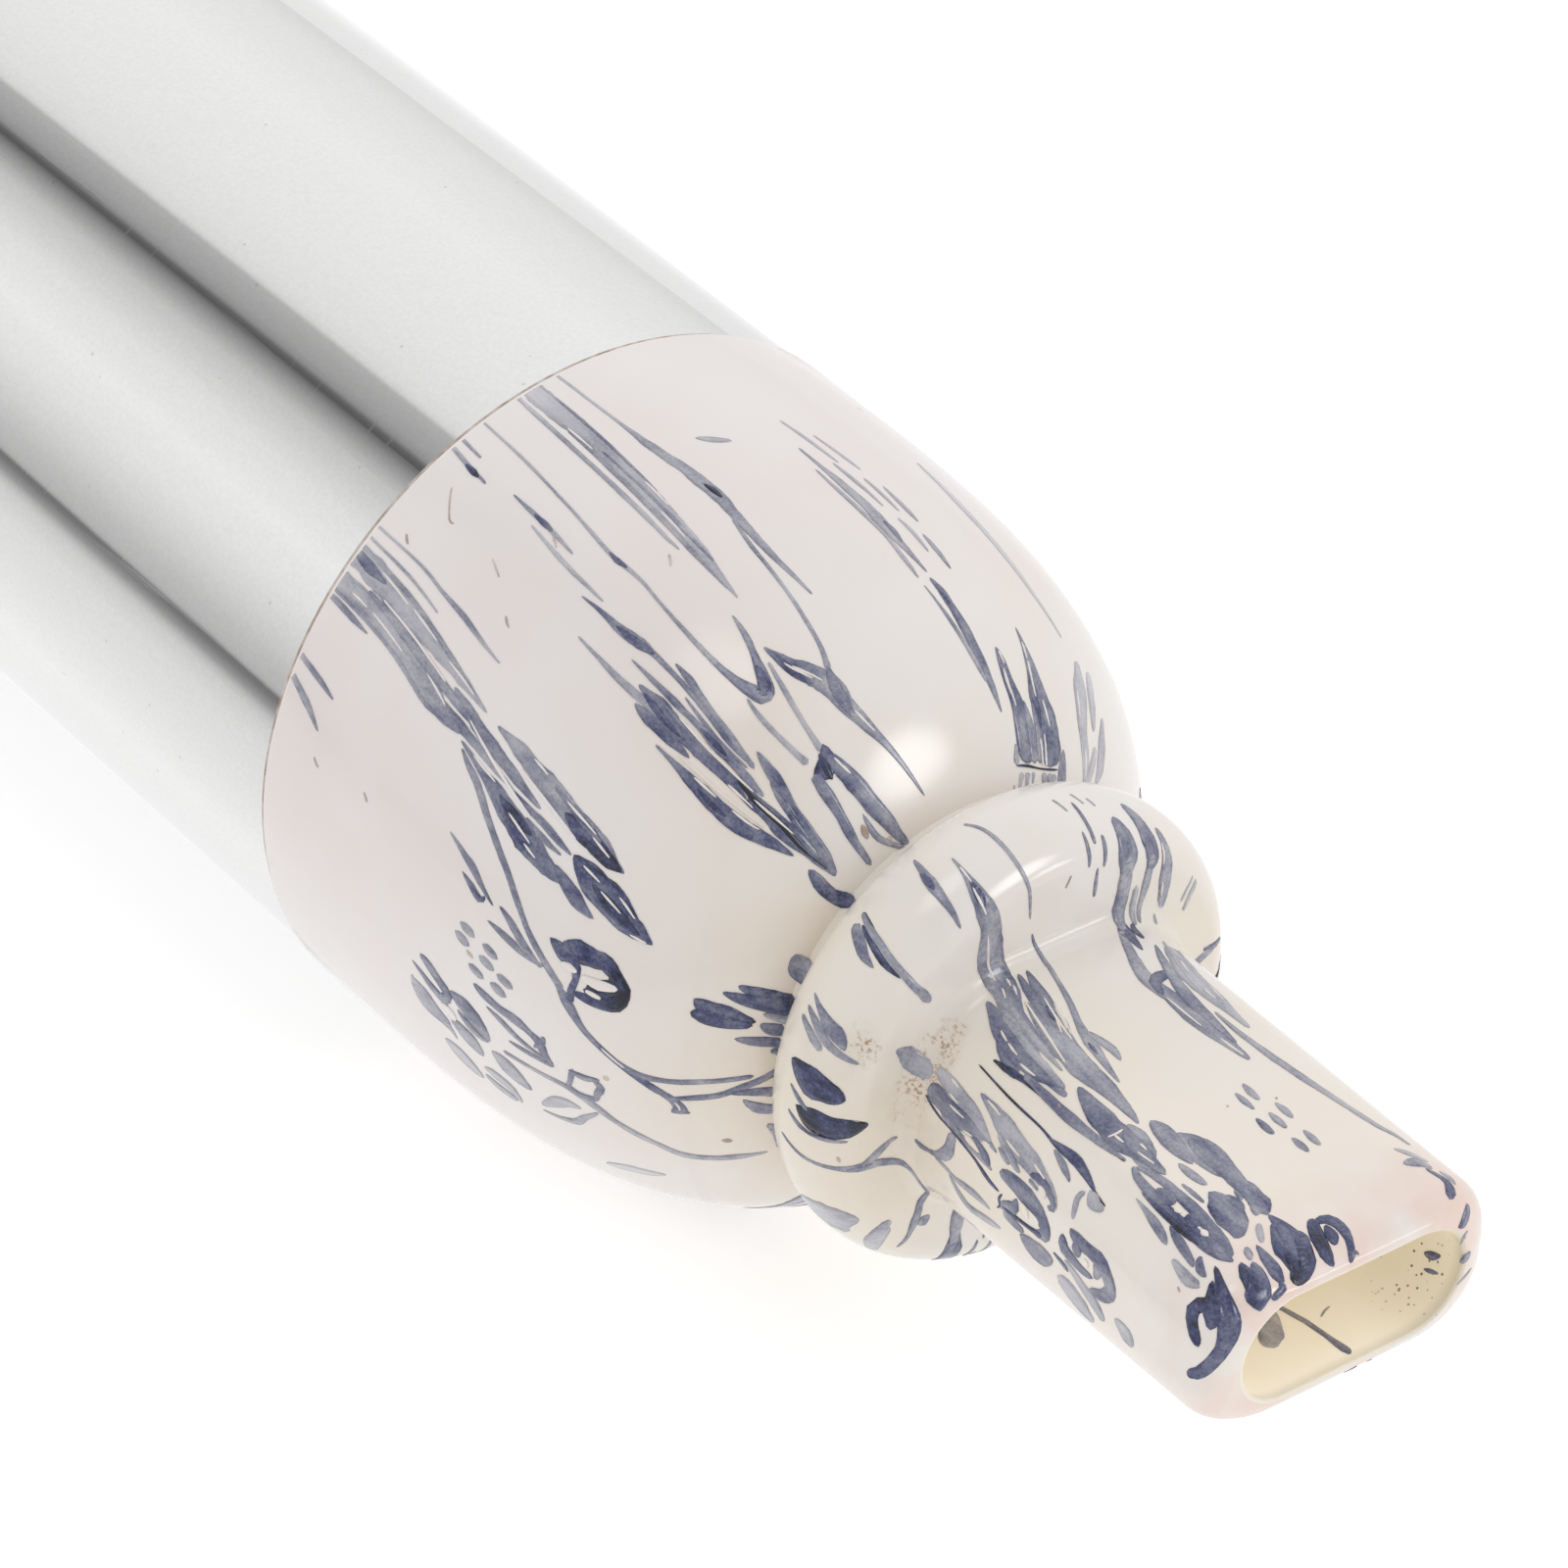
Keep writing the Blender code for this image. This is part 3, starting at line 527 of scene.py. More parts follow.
def arc_points(centre, radius_x, radius_r, start, end, steps):
    """(place, radius) points on an arc; angles in degrees, 0 towards +X and 90 outwards."""
    points = []
    for i in range(steps + 1):
        angle = math.radians(start + (end - start) * i / steps)
        points.append((centre[0] + radius_x * math.cos(angle), centre[1] + radius_r * math.sin(angle)))
    return points


def dome_oval(sizes, inset, steps):
    """Points down the dome from its widest place to the neck, inset by a wall."""
    long, wide = sizes.dome_length - inset, sizes.dome_radius - inset
    neck, full = sizes.neck_radius - inset, sizes.dome_fullness
    last = math.asin((1 - (neck / wide) ** full) ** 0.5)
    points = []
    for i in range(steps + 1):
        angle = last * i / steps
        points.append((sizes.dome_straight + long * math.sin(angle) ** (2 / full),
                       wide * math.cos(angle) ** (2 / full)))
    return points


def cap_places(sizes):
    """Where the bead starts and the lips end, from the joint plane."""
    reach = (1 - (sizes.neck_radius / sizes.dome_radius) ** sizes.dome_fullness) ** (1 / sizes.dome_fullness)
    return sizes.dome_straight + sizes.dome_length * reach + sizes.crease, CAP_HIGH.x - JOINT_X


def beak_section(sizes, share, place):
    def between(root, tip):
        return root + (tip - root) * share
    return (place, between(sizes.beak_root_width, sizes.beak_tip_width) / 2,
            between(sizes.beak_root_height, sizes.beak_tip_height) / 2,
            between(sizes.beak_root_corner, sizes.beak_tip_corner))


def cap_outside(sizes):
    """Sections of the printed skin, from the joint to the lips, places counted from the joint plane."""
    edge = sizes.edge
    corner = (sizes.gap + edge, sizes.dome_radius - edge)
    sections = circles(arc_points(corner, edge, edge, 180, 90, EDGE_STEPS))
    sections += circles(dome_oval(sizes, 0.0, DOME_STEPS))
    bead_start, lips = cap_places(sizes)
    half, swell = sizes.bead_length / 2, sizes.bead_radius - sizes.neck_radius
    sections += circles(arc_points((bead_start + half, sizes.neck_radius), half, swell, 180, 0, BEAD_STEPS))
    fillet, bead_end = sizes.root_fillet, bead_start + sizes.bead_length
    for angle in quarter_turn(FILLET_STEPS):
        place, *outline = beak_section(sizes, 0.0, bead_end + fillet * (1 - math.cos(angle)))
        sections.append((place, *[size + fillet * (1 - math.sin(angle)) for size in outline]))
    root, tip = bead_end + fillet, lips - sizes.tip_round
    for share in (i / BEAK_STEPS for i in range(1, BEAK_STEPS + 1)):
        sections.append(beak_section(sizes, share, root + (tip - root) * share))
    for angle in quarter_turn(LIP_STEPS):
        place, width, height, corner = beak_section(sizes, 1.0, tip + sizes.tip_round * math.sin(angle))
        drawn_in = 1 - math.cos(angle)
        width -= sizes.tip_round * drawn_in
        height -= sizes.lip_round * drawn_in
        sections.append((place, width, height, min(corner, height)))
    return sections


def printed_skin(sizes):
    """The cap's skin past the rounded edge at the joint."""
    return Skin(cap_outside(sizes)[EDGE_STEPS:])


def passage_sections(sizes):
    """The part of the cap's inside that shows through the slot."""
    return cap_inside(sizes)[RIM_STEPS:RIM_STEPS + PASSAGE_STEPS + 1]


def cap_inside(sizes):
    """Sections from the slot's rim back through the mouthpiece to the spigot's end."""
    bead_start, lips = cap_places(sizes)
    half_width, half_height, rim = sizes.slot_width / 2, sizes.slot_height / 2, sizes.slot_edge
    sections = []
    for angle in (0.0, *quarter_turn(RIM_STEPS)):
        grown = half_height + rim * (1 - math.sin(angle))
        sections.append((lips - rim * (1 - math.cos(angle)), half_width + grown - half_height, grown, grown))
    bead_end = bead_start + sizes.bead_length
    airway = (sizes.beak_root_width / 2 - sizes.beak_wall, sizes.beak_root_height / 2 - sizes.beak_wall,
              sizes.beak_root_corner - sizes.beak_wall)
    for share in (i / PASSAGE_STEPS for i in range(1, PASSAGE_STEPS + 1)):
        slot = (half_width, half_height, half_height)
        sections.append((lips - rim + (bead_end - lips + rim) * share,
                         *[a + (b - a) * share for a, b in zip(slot, airway)]))
    sections += circles(reversed(dome_oval(sizes, sizes.wall, INNER_STEPS)))
    return sections + circles([(sizes.wall, sizes.dome_radius - sizes.wall), (sizes.wall, sizes.spigot_bore)])


def cap_spigot(sizes):
    """Sections from the spigot's bore round its end and back to the dome's face."""
    end, edge, root = CAP_LOW.x - JOINT_X, sizes.edge, sizes.gap
    radius, floor, lip = sizes.spigot_radius, sizes.spigot_radius - sizes.cork_groove, sizes.tenon_lip
    return circles([(end, sizes.spigot_bore), (end, radius - edge), (end + edge, radius), (end + lip, radius),
                    (end + lip, floor), (root - lip, floor), (root - lip, radius), (root, radius)])


def lofted(name, skins, sides):
    """A closed shape: a circle extruded ring by ring, each set to its section, and the last on the first.
    skins holds one list of sections for each material slot."""
    bm = bmesh.new()
    share = bm.verts.layers.float.new("share")
    first = skins[0][0]
    for i, vertex in enumerate(bmesh.ops.create_circle(bm, segments=sides, radius=1.0)["verts"]):
        vertex[share] = i / sides
        vertex.co = section_point(first, vertex[share])
    edges = list(bm.edges)
    for slot_number, sections in enumerate(skins):
        for section in (sections[1:] if slot_number == 0 else sections):
            edges = extrude_ring(bm, edges, slot_number, lambda v, s=section: section_point(s, v[share]))
    extrude_ring(bm, edges, len(skins) - 1, lambda v: section_point(first, v[share]))
    bm.verts.layers.float.remove(share)
    return close(name, bm)


def extrude_ring(bm, edges, slot_number, place):
    """Extrudes a loop of edges and puts each new vertex where place says; returns the new loop."""
    made = bmesh.ops.extrude_edge_only(bm, edges=edges)["geom"]
    new = {v for v in made if isinstance(v, bmesh.types.BMVert)}
    for vertex in new:
        vertex.co = place(vertex)
    for face in (f for f in made if isinstance(f, bmesh.types.BMFace)):
        face.material_index = slot_number
    return [e for e in made if isinstance(e, bmesh.types.BMEdge) and set(e.verts) <= new]


def close(name, bm):
    """Welds, orients and shades the bmesh, and returns its object."""
    bmesh.ops.remove_doubles(bm, verts=bm.verts, dist=WELD)
    made = as_object(name, bm)
    made.data.set_sharp_from_angle(angle=SMOOTH_ANGLE)
    return made


def as_object(name, bm):
    """Turns the faces outwards and writes the bmesh into a new smooth object."""
    bmesh.ops.recalc_face_normals(bm, faces=bm.faces)
    mesh = bpy.data.meshes.new(name)
    bm.to_mesh(mesh)
    bm.free()
    mesh.shade_smooth()
    return add_object(name, mesh)


def add_object(name, data):
    made = bpy.data.objects.new(name, data)
    bpy.context.scene.collection.objects.link(made)
    return made


def turned(name, outline, sides):
    """Spins a closed outline of (place, radius) points round the pipe's axis."""
    bm = bmesh.new()
    points = [bm.verts.new((JOINT_X + place, 0, AXIS_Z + r)) for place, r in outline]
    edges = [bm.edges.new(pair) for pair in zip(points, points[1:] + points[:1])]
    bmesh.ops.spin(bm, geom=points + edges, cent=(0, 0, AXIS_Z), axis=(1, 0, 0), angle=math.tau, steps=sides,
                   use_merge=True)
    return close(name, bm)


def rounded(outline, radius, corners):
    """The outline with the numbered corners rounded; a corner's two stretches are longer than the radius."""
    result = []
    for i, point in enumerate(outline):
        if i not in corners:
            result.append(point)
            continue
        here = Vector(point)
        before, after = Vector(outline[i - 1]) - here, Vector(outline[(i + 1) % len(outline)]) - here
        start, end = here + before.normalized() * radius, here + after.normalized() * radius
        for step in range(5):
            t = step / 4
            result.append(tuple(start * (1 - t) ** 2 + here * 2 * t * (1 - t) + end * t ** 2))
    return result


def easing(start, end, steps=24):
    """An S curve between two (x, radius) points, level at both ends."""
    points = []
    for i in range(steps + 1):
        share = i / steps
        blend = (1 - math.cos(math.pi * share)) / 2
        points.append((start[0] + (end[0] - start[0]) * share, start[1] + (end[1] - start[1]) * blend))
    return points


def place_piece(piece, body, slot, materials, *nodes):
    for material in materials:
        piece.data.materials.append(material)
    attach(piece, body)
    if nodes:
        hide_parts(*nodes)


# Holes

# The rim of a hole is an arc of this many degrees and steps, a little taller than the edge's rounding, and
# the cutter runs on past it by these shares of the rounding, outwards and up
FLARE_TURN, FLARE_STEPS, FLARE_HEIGHT, FLARE_OUT, FLARE_UP = 100, 6, 1.08, 1.3, 4


def hole_cutter(place, direction, radius, pipe_radius, edge, sides=72):
    """A rod from the axis outwards that flares at the pipe's skin, so that its hole gets a rounded rim."""
    rings = [(radius, 0.0), (radius, pipe_radius - edge)]
    for i in range(1, FLARE_STEPS + 1):
        angle = math.radians(FLARE_TURN * i / FLARE_STEPS)
        rings.append((radius + edge * (1 - math.cos(angle)),
                      pipe_radius - edge * (1 - math.sin(angle) * FLARE_HEIGHT)))
    rings.append((radius + edge * FLARE_OUT, pipe_radius + edge * FLARE_UP))
    bm = bmesh.new()
    turn = bm.verts.layers.float.new("turn")
    for vertex in bmesh.ops.create_circle(bm, cap_ends=True, segments=sides, radius=radius)["verts"]:
        vertex[turn] = math.atan2(vertex.co.y, vertex.co.x)
    edges = list(bm.edges)
    for out, height in rings[1:]:
        def place_on_ring(v, out=out, height=height):
            across = out * math.sin(v[turn])
            return (out * math.cos(v[turn]), across, (height * height - across * across) ** 0.5)
        edges = extrude_ring(bm, edges, 0, place_on_ring)
    bmesh.ops.edgeloop_fill(bm, edges=edges)
    lean = Vector((0, 0, 1)).rotation_difference(Vector((0, *direction))).to_matrix()
    bmesh.ops.rotate(bm, verts=bm.verts, cent=(0, 0, 0), matrix=lean)
    bmesh.ops.translate(bm, verts=bm.verts, vec=(JOINT_X + place, 0, AXIS_Z))
    return close("hole_cutter", bm)


def drill(piece, holes, pipe_radius, edge):
    """Cuts round holes with rounded rims into a pipe; each hole is (place, direction, radius)."""
    for place, direction, radius in holes:
        cutter = hole_cutter(place, direction, radius, pipe_radius, edge)
        cut = piece.modifiers.new("hole", "BOOLEAN")
        cut.operation, cut.solver, cut.object = "DIFFERENCE", "EXACT", cutter
        apply_modifiers(piece)
        bpy.data.objects.remove(cutter, do_unlink=True)


def apply_modifiers(piece):
    """Writes the piece's evaluated shape into its mesh."""
    graph = bpy.context.evaluated_depsgraph_get()
    shape = bpy.data.meshes.new_from_object(piece.evaluated_get(graph))
    piece.modifiers.clear()
    piece.data = shape
    shape.shade_smooth()
    shape.set_sharp_from_angle(angle=SMOOTH_ANGLE)


# Printed pattern

# Seed dashes: length and half width in millimetres, lean in degrees, tone
SEED_LENGTH, SEED_HALF, SEED_LEAN, SEED_TONE = 0.9, 0.2, 18, 0.45
# Strokes wider and longer than this get slivers, unless they end past this station, near the lips
SLIVER_HALF, SLIVER_LENGTH, SLIVER_LAST = 0.3, 3.5, 50


class Skin:
    """A piece's printed surface, read by station along it in millimetres and by angle round it."""

    def __init__(self, sections, facing=1):
        self.sections, self.facing = sections, facing
        self.stations = [0.0]
        for here, there in zip(sections, sections[1:]):
            step = math.hypot(there[0] - here[0], (there[1] + there[2] - here[1] - here[2]) / 2)
            self.stations.append(self.stations[-1] + step / MM)

    def section(self, station):
        i = min(max(bisect.bisect_right(self.stations, station) - 1, 0), len(self.stations) - 2)
        low, high = self.stations[i], self.stations[i + 1]
        share = (station - low) / (high - low) if high > low else 0.0
        return tuple(a + (b - a) * share for a, b in zip(self.sections[i], self.sections[i + 1]))

    def point(self, station, angle):
        return section_point(self.section(station), (angle / 360.0) % 1.0)

    def per_degree(self, station):
        """Millimetres on the skin for one degree round it."""
        _, width, height, corner = self.section(station)
        corner = min(corner, width, height)
        return 4 * (width + height - 2 * corner + math.pi / 2 * corner) / MM / 360

    def outward(self, station, angle):
        """The direction straight off the skin."""
        along = self.point(station + 0.05, angle) - self.point(station - 0.05, angle)
        across = self.point(station, angle + 0.3) - self.point(station, angle - 0.3)
        return across.cross(along).normalized() * self.facing


def spline(points, share):
    """A smooth curve through the points, each a tuple of numbers, at that share of its way."""
    spans = len(points) - 1
    place = min(max(share, 0.0), 1.0) * spans
    i = min(int(place), spans - 1)
    t = place - i
    before, here, there, after = (points[max(0, min(spans, k))] for k in (i - 1, i, i + 1, i + 2))
    return tuple(
        0.5 * (2 * b + (c - a) * t + (2 * a - 5 * b + 4 * c - d) * t ** 2 + (3 * b - a - 3 * c + d) * t ** 3)
        for a, b, c, d in zip(before, here, there, after))


class Print:
    """Ink on one piece's skin, as thin closed films of one mesh."""

    lowest, rise, levels, depth = 0.000020, 0.0000010, 14, 0.00005
    # Least and most steps along a stroke, and the half width past which it has four columns
    fewest, most, broad = 8, 80, 0.2
    # How much darker a broad stroke's edges get than its middle, and how much fainter one starts at a cut
    edge_tone, cut_fade = 0.07, 0.25
    # How evenly rows are spread, where the rest of their spacing is closer at the ends
    even = 0.65
    # Least half width in millimetres, length of a stroke's rounded end in half widths, and the tip's share
    thinnest, end_length, tip = 0.03, 1.4, 0.12

    def __init__(self, skin, seed):
        self.skin = skin
        self.random = random.Random(seed)
        self.bm = bmesh.new()
        self.tone = self.bm.verts.layers.float.new("tone")
        self.inward = self.bm.verts.layers.float_vector.new("inward")
        self.count = 0

    def row(self, points, place, reach):
        """A stroke's cross-section: place, middle, half width, the way across it and the way off the skin."""
        skin = self.skin
        share = place * place * (3 - 2 * place) * (1 - self.even) + place * self.even
        station, angle, half = spline(points, share)
        (s1, a1, _), (s2, a2, _) = spline(points, share - 0.02), spline(points, share + 0.02)
        scale = skin.per_degree(station)
        run, rise = s2 - s1, (a2 - a1) * scale
        size = math.hypot(run, rise) or 1.0
        half = max(half, self.thinnest)
        from_end = min(1 if self.cut(points) else share, 1 - share) * reach / (half * self.end_length)
        if from_end < 1:
            half *= max(self.tip, (1 - (1 - from_end) ** 2) ** 0.5)
        return share, station, angle, half, -rise / size, run / size / scale, skin.outward(station, angle)

    @staticmethod
    def cut(points):
        """Whether a stroke comes from beyond the piece's edge, and so starts at full width and fainter."""
        return points[0][0] < 0.2

    def slivers(self, points):
        """Thin strokes inside a long wide one, along its flow."""
        (first, turn, _), (last, end, _) = points[0], points[-1]
        long = math.hypot(last - first, (end - turn) * self.skin.per_degree(first))
        widest = max(half for _, _, half in points)
        if widest <= SLIVER_HALF or long <= SLIVER_LENGTH or last >= SLIVER_LAST:
            return
        for _ in range(round(widest * 6)):
            start, reach = self.random.uniform(0.08, 0.72), self.random.uniform(0.08, 0.20)
            side = self.random.uniform(-0.8, 0.8)
            inner = []
            for k, half in enumerate((0.02, 0.05, 0.04, 0.02)):
                _, station, angle, wide, ds, da, _ = self.row(points, start + reach * k / 3, 5.0)
                inner.append((station + side * wide * ds, angle + side * wide * da, half))
            self.stroke(inner, 0)

    def stroke(self, points, tone, ragged=0.12, cell=0.25):
        """A brush stroke with rounded ends through (station, angle, half width) points."""
        skin = self.skin
        marks = [spline(points, k / 16) for k in range(17)]
        reach = 0.0
        for here, there in zip(marks, marks[1:]):
            reach += math.hypot(there[0] - here[0], (there[1] - here[1]) * skin.per_degree(here[0]))
        steps = max(self.fewest, min(self.most, round(reach / cell)))
        columns = 4 if max(half for _, _, half in points) > self.broad else 2
        lift = self.lowest + self.rise * (self.count % self.levels)
        self.count += 1
        shift = self.random.uniform(0, 100)
        if columns == 2:
            tone -= self.edge_tone
        rows = {}
        for vertex in bmesh.ops.create_grid(self.bm, x_segments=steps, y_segments=columns, size=1.0)["verts"]:
            place, side = round((vertex.co.x + 1) / 2, 5), vertex.co.y
            if place not in rows:
                rows[place] = self.row(points, place, reach)
            share, station, angle, half, ds, da, outward = rows[place]
            rough = noise.noise((share * reach * 1.1 + shift, side * 1.5, shift)) * ragged
            rough += noise.noise((share * reach * 3.1, side * 3.0, shift + 7)) * ragged * 0.5
            offset = side * half * (1 + 2 * rough)
            fainter = self.cut_fade * max(0.0, 1 - 4 * share) if self.cut(points) else 0.0
            vertex[self.tone] = tone + self.edge_tone * (abs(side) - 0.5) * (columns > 2) - fainter
            vertex[self.inward] = -outward
            vertex.co = skin.point(station + offset * ds, angle + offset * da) + outward * lift

    def strokes(self, rows):
        for tone, *points in rows:
            self.stroke(points, tone)

    def seed(self, station, angle):
        """A small oval dash that leans away from the pipe's axis."""
        lean, half_length = math.radians(SEED_LEAN), SEED_LENGTH / 2
        ds, da = math.cos(lean) * half_length, math.sin(lean) * half_length / self.skin.per_degree(station)
        points = [(station + ds * t, angle + da * t, SEED_HALF * (1 - t * t) ** 0.4)
                  for t in (-1 + i / 3 for i in range(7))]
        self.stroke(points, SEED_TONE, 0.10)

    def closed(self, name):
        """Gives the films their thickness, mostly sunk in the skin, and returns the object."""
        bm = self.bm
        for part in bmesh.ops.extrude_face_region(bm, geom=bm.faces[:], use_keep_orig=True)["geom"]:
            if isinstance(part, bmesh.types.BMVert):
                part.co += part[self.inward] * self.depth
        bm.verts.layers.float_vector.remove(self.inward)
        return as_object(name, bm)


# The cap's pattern, brush stroke by brush stroke: tone, then (station, angle, half width) places

DOME_CREST = (
    (.28, (.05, 98.7, .06), (4, 98.4, .07), (6, 98.2, .18), (8, 97.6, .26), (10, 97.3, .28), (12, 98, .2),
     (14, 98.4, .14), (16.4, 98, .04)),
    (.9, (9.2, 97.4, .05), (9.8, 97.1, .15), (10.3, 97.1, .05)),
    (.4, (11.5, 98.6, .05), (13, 99.7, .09), (15, 100.5, .08), (17, 101.6, .08), (18.6, 102.9, .1),
     (19.4, 104.2, .14)),
    (.16, (.05, 103.3, .42), (2, 103.4, .42), (4, 103.6, .38), (6, 104.1, .34), (8, 104.6, .38),
     (10, 105.1, .3), (12, 106, .26), (13.6, 106.8, .14), (14.8, 107.3, .03)),
    (.5, (.05, 101.9, .06), (3, 102.1, .07), (6, 102.7, .06), (8.4, 103.4, .04)),
    (.42, (3, 104.8, .05), (6, 105.4, .08), (9, 106.1, .1), (12, 107, .08), (14.2, 107.4, .03)),
    (.5, (5, 104, .04), (8, 104.5, .07), (11, 105.3, .1), (12.8, 105.8, .03)),
    (.26, (.05, 105.7, .09), (3, 106.3, .1), (6, 106.9, .1), (8.5, 107.4, .11), (10.5, 107.9, .08),
     (11.4, 108, .03)),
    (.36, (.05, 112, .05), (3, 112.6, .06), (6, 113.7, .06), (8, 114.6, .07), (9.7, 115.3, .1),
     (11.5, 115.3, .07), (13, 116, .07), (15, 116.7, .1), (16.5, 117, .14)),
    (.85, (9.4, 115.2, .04), (10, 115.4, .12), (10.6, 115.3, .04)),
    (.45, (.05, 117.8, .09), (1.2, 118.4, .1), (2.6, 118.9, .05)),
    (.9, (1.1, 118.5, .06), (1.7, 118.7, .14), (2.1, 118.8, .04)),
    (.48, (4, 117.6, .04), (5.6, 117.9, .1), (6.8, 118.2, .1), (8.3, 118.8, .04)),
    (.85, (5.5, 117.9, .05), (6.2, 118, .12), (6.8, 118.2, .05)),
    (.2, (5.8, 119.4, .04), (7.5, 120.2, .09), (9, 120.8, .1), (11, 121.2, .04)),
    (.35, (.05, 116, .08), (1.4, 116.4, .05)),
    (.15, (7.6, 88, .08), (7.2, 90, .2), (6.7, 92, .06)),
)
DOME_STEMS = (
    (.45, (17.2, 109.9, .04), (17.9, 109.3, .2), (18.6, 108.4, .34), (19.3, 106.9, .46), (20, 105.8, .5),
     (21, 105.5, .38), (22, 104.8, .26), (23.5, 103.2, .14), (25.7, 101.3, .04)),
    (.6, (19.3, 104, .05), (19.9, 104.8, .24), (20.7, 105.6, .28), (21.6, 105.8, .1)),
    (.72, (17.3, 109.8, .05), (18.2, 109.4, .18), (19, 108.9, .16), (19.6, 108, .06)),
    (.5, (15.3, 109.9, .04), (16.3, 110.6, .12), (17.2, 111.8, .16), (18, 113, .24), (18.6, 114.2, .34),
     (18.7, 115.4, .34), (18, 116.4, .24), (17, 116.9, .16), (15.6, 117, .08)),
    (.66, (17.6, 112.8, .06), (18.2, 113.6, .24), (18.6, 114.6, .26), (18.6, 115.6, .08)),
    (.36, (17.8, 111, .06), (19, 112.1, .1), (20.5, 113.4, .1), (21.9, 114.4, .14)),
    (.38, (18.4, 117.5, .05), (19.5, 118.2, .1), (21, 118.1, .11), (21.9, 117.8, .16)),
    (.7, (21.7, 113.4, .1), (22.2, 114.4, .36), (22.5, 115.6, .42), (22.5, 117, .42), (22.4, 118.3, .22)),
    (.9, (21.9, 115, .06), (22.5, 115.8, .16), (23, 116.2, .06)),
    (.52, (22.2, 113.7, .2), (23.4, 113.3, .36), (25, 112.6, .36), (26.2, 111.8, .26), (27, 110.8, .1)),
    (.5, (22.4, 118.2, .2), (23.2, 118.8, .24), (24.2, 119.6, .2), (25.2, 120.8, .2), (26.6, 121.7, .1)),
    (.45, (24.8, 115.8, .04), (25.5, 116.3, .12), (26, 116.1, .13), (26.5, 114.6, .12), (27, 112, .1)),
)
DOME_FRONT = (
    (.5, (10.1, 122.6, .03), (11.5, 122.5, .12), (12.6, 122.7, .2), (13.6, 122.3, .24), (14.4, 122.2, .12),
     (16, 122.6, .1), (17.5, 123.4, .1), (19, 124.4, .1), (20.2, 124.9, .04)),
    (.85, (12.2, 122.6, .05), (13, 122.6, .16), (13.8, 122.3, .18), (14.4, 122.2, .05)),
    (.48, (15.3, 121.1, .04), (16.3, 121.6, .16), (17.5, 122.5, .1), (19, 123.6, .13), (20.6, 124.9, .1)),
    (.42, (11.3, 127.3, .03), (12.5, 127.7, .08), (14, 128.2, .13), (15.2, 128.3, .18), (16.4, 128.2, .2)),
    (.55, (14.8, 127, .06), (16, 127.4, .3), (17, 128.1, .36), (18, 128.5, .3), (19, 128.7, .28),
     (20.5, 129, .24), (22, 129.2, .28), (23.5, 129.3, .34), (24.7, 129.4, .22), (25.8, 129.6, .04)),
    (.8, (15.2, 127.4, .05), (15.9, 128, .16), (16.8, 128.6, .12), (17.6, 128.9, .04)),
    (.6, (15.2, 129.4, .05), (16, 129.9, .24), (17.2, 130, .24), (18.4, 130.5, .06)),
    (1.02, (20.4, 128.2, .04), (21.4, 128.8, .12), (22.8, 129, .12), (24, 129.7, .1), (25.4, 129.6, .03)),
    (.52, (13.8, 124.9, .03), (15.5, 125.2, .12), (16.5, 125.5, .15), (17.5, 125.7, .12), (18.6, 126.1, .2),
     (19.6, 126.5, .16), (20.6, 126.9, .18), (21.6, 127.3, .06)),
    (.8, (17.9, 125.9, .04), (18.7, 126.1, .15), (19.5, 126.4, .05)),
    (.62, (17, 132.2, .04), (18, 132.6, .12), (19, 133.1, .24), (20, 133.6, .32), (21, 133.9, .38),
     (22, 133.6, .32), (22.9, 132.7, .26), (24, 132, .05)),
    (.85, (19.4, 133.4, .04), (20.2, 133.9, .14), (21, 134.1, .04)),
    (.55, (20.2, 122.5, .04), (21, 123.2, .2), (21.8, 124, .22), (22.6, 124.8, .12), (23.2, 125.5, .14),
     (24, 126.5, .18), (25, 127.8, .22), (25.8, 129.5, .08)),
    (.58, (21.4, 124.4, .1), (22.2, 125.8, .14), (23.4, 127.1, .12), (24.8, 128.5, .14)),
    (.66, (24.8, 132.3, .1), (25.4, 133, .28), (26.2, 133.5, .3), (26.8, 132.7, .32), (27.2, 131, .24)),
    (.44, (18.9, 125.6, .04), (20.2, 127.1, .07), (21.4, 127.9, .05)),
    (.5, (16.6, 123.9, .03), (17.8, 124.8, .08), (19.2, 125.6, .1), (20.4, 125.6, .04)),
    (.6, (22.4, 130.4, .03), (22.9, 130.6, .14), (23.6, 130.5, .1), (24.6, 130.2, .04)),
)
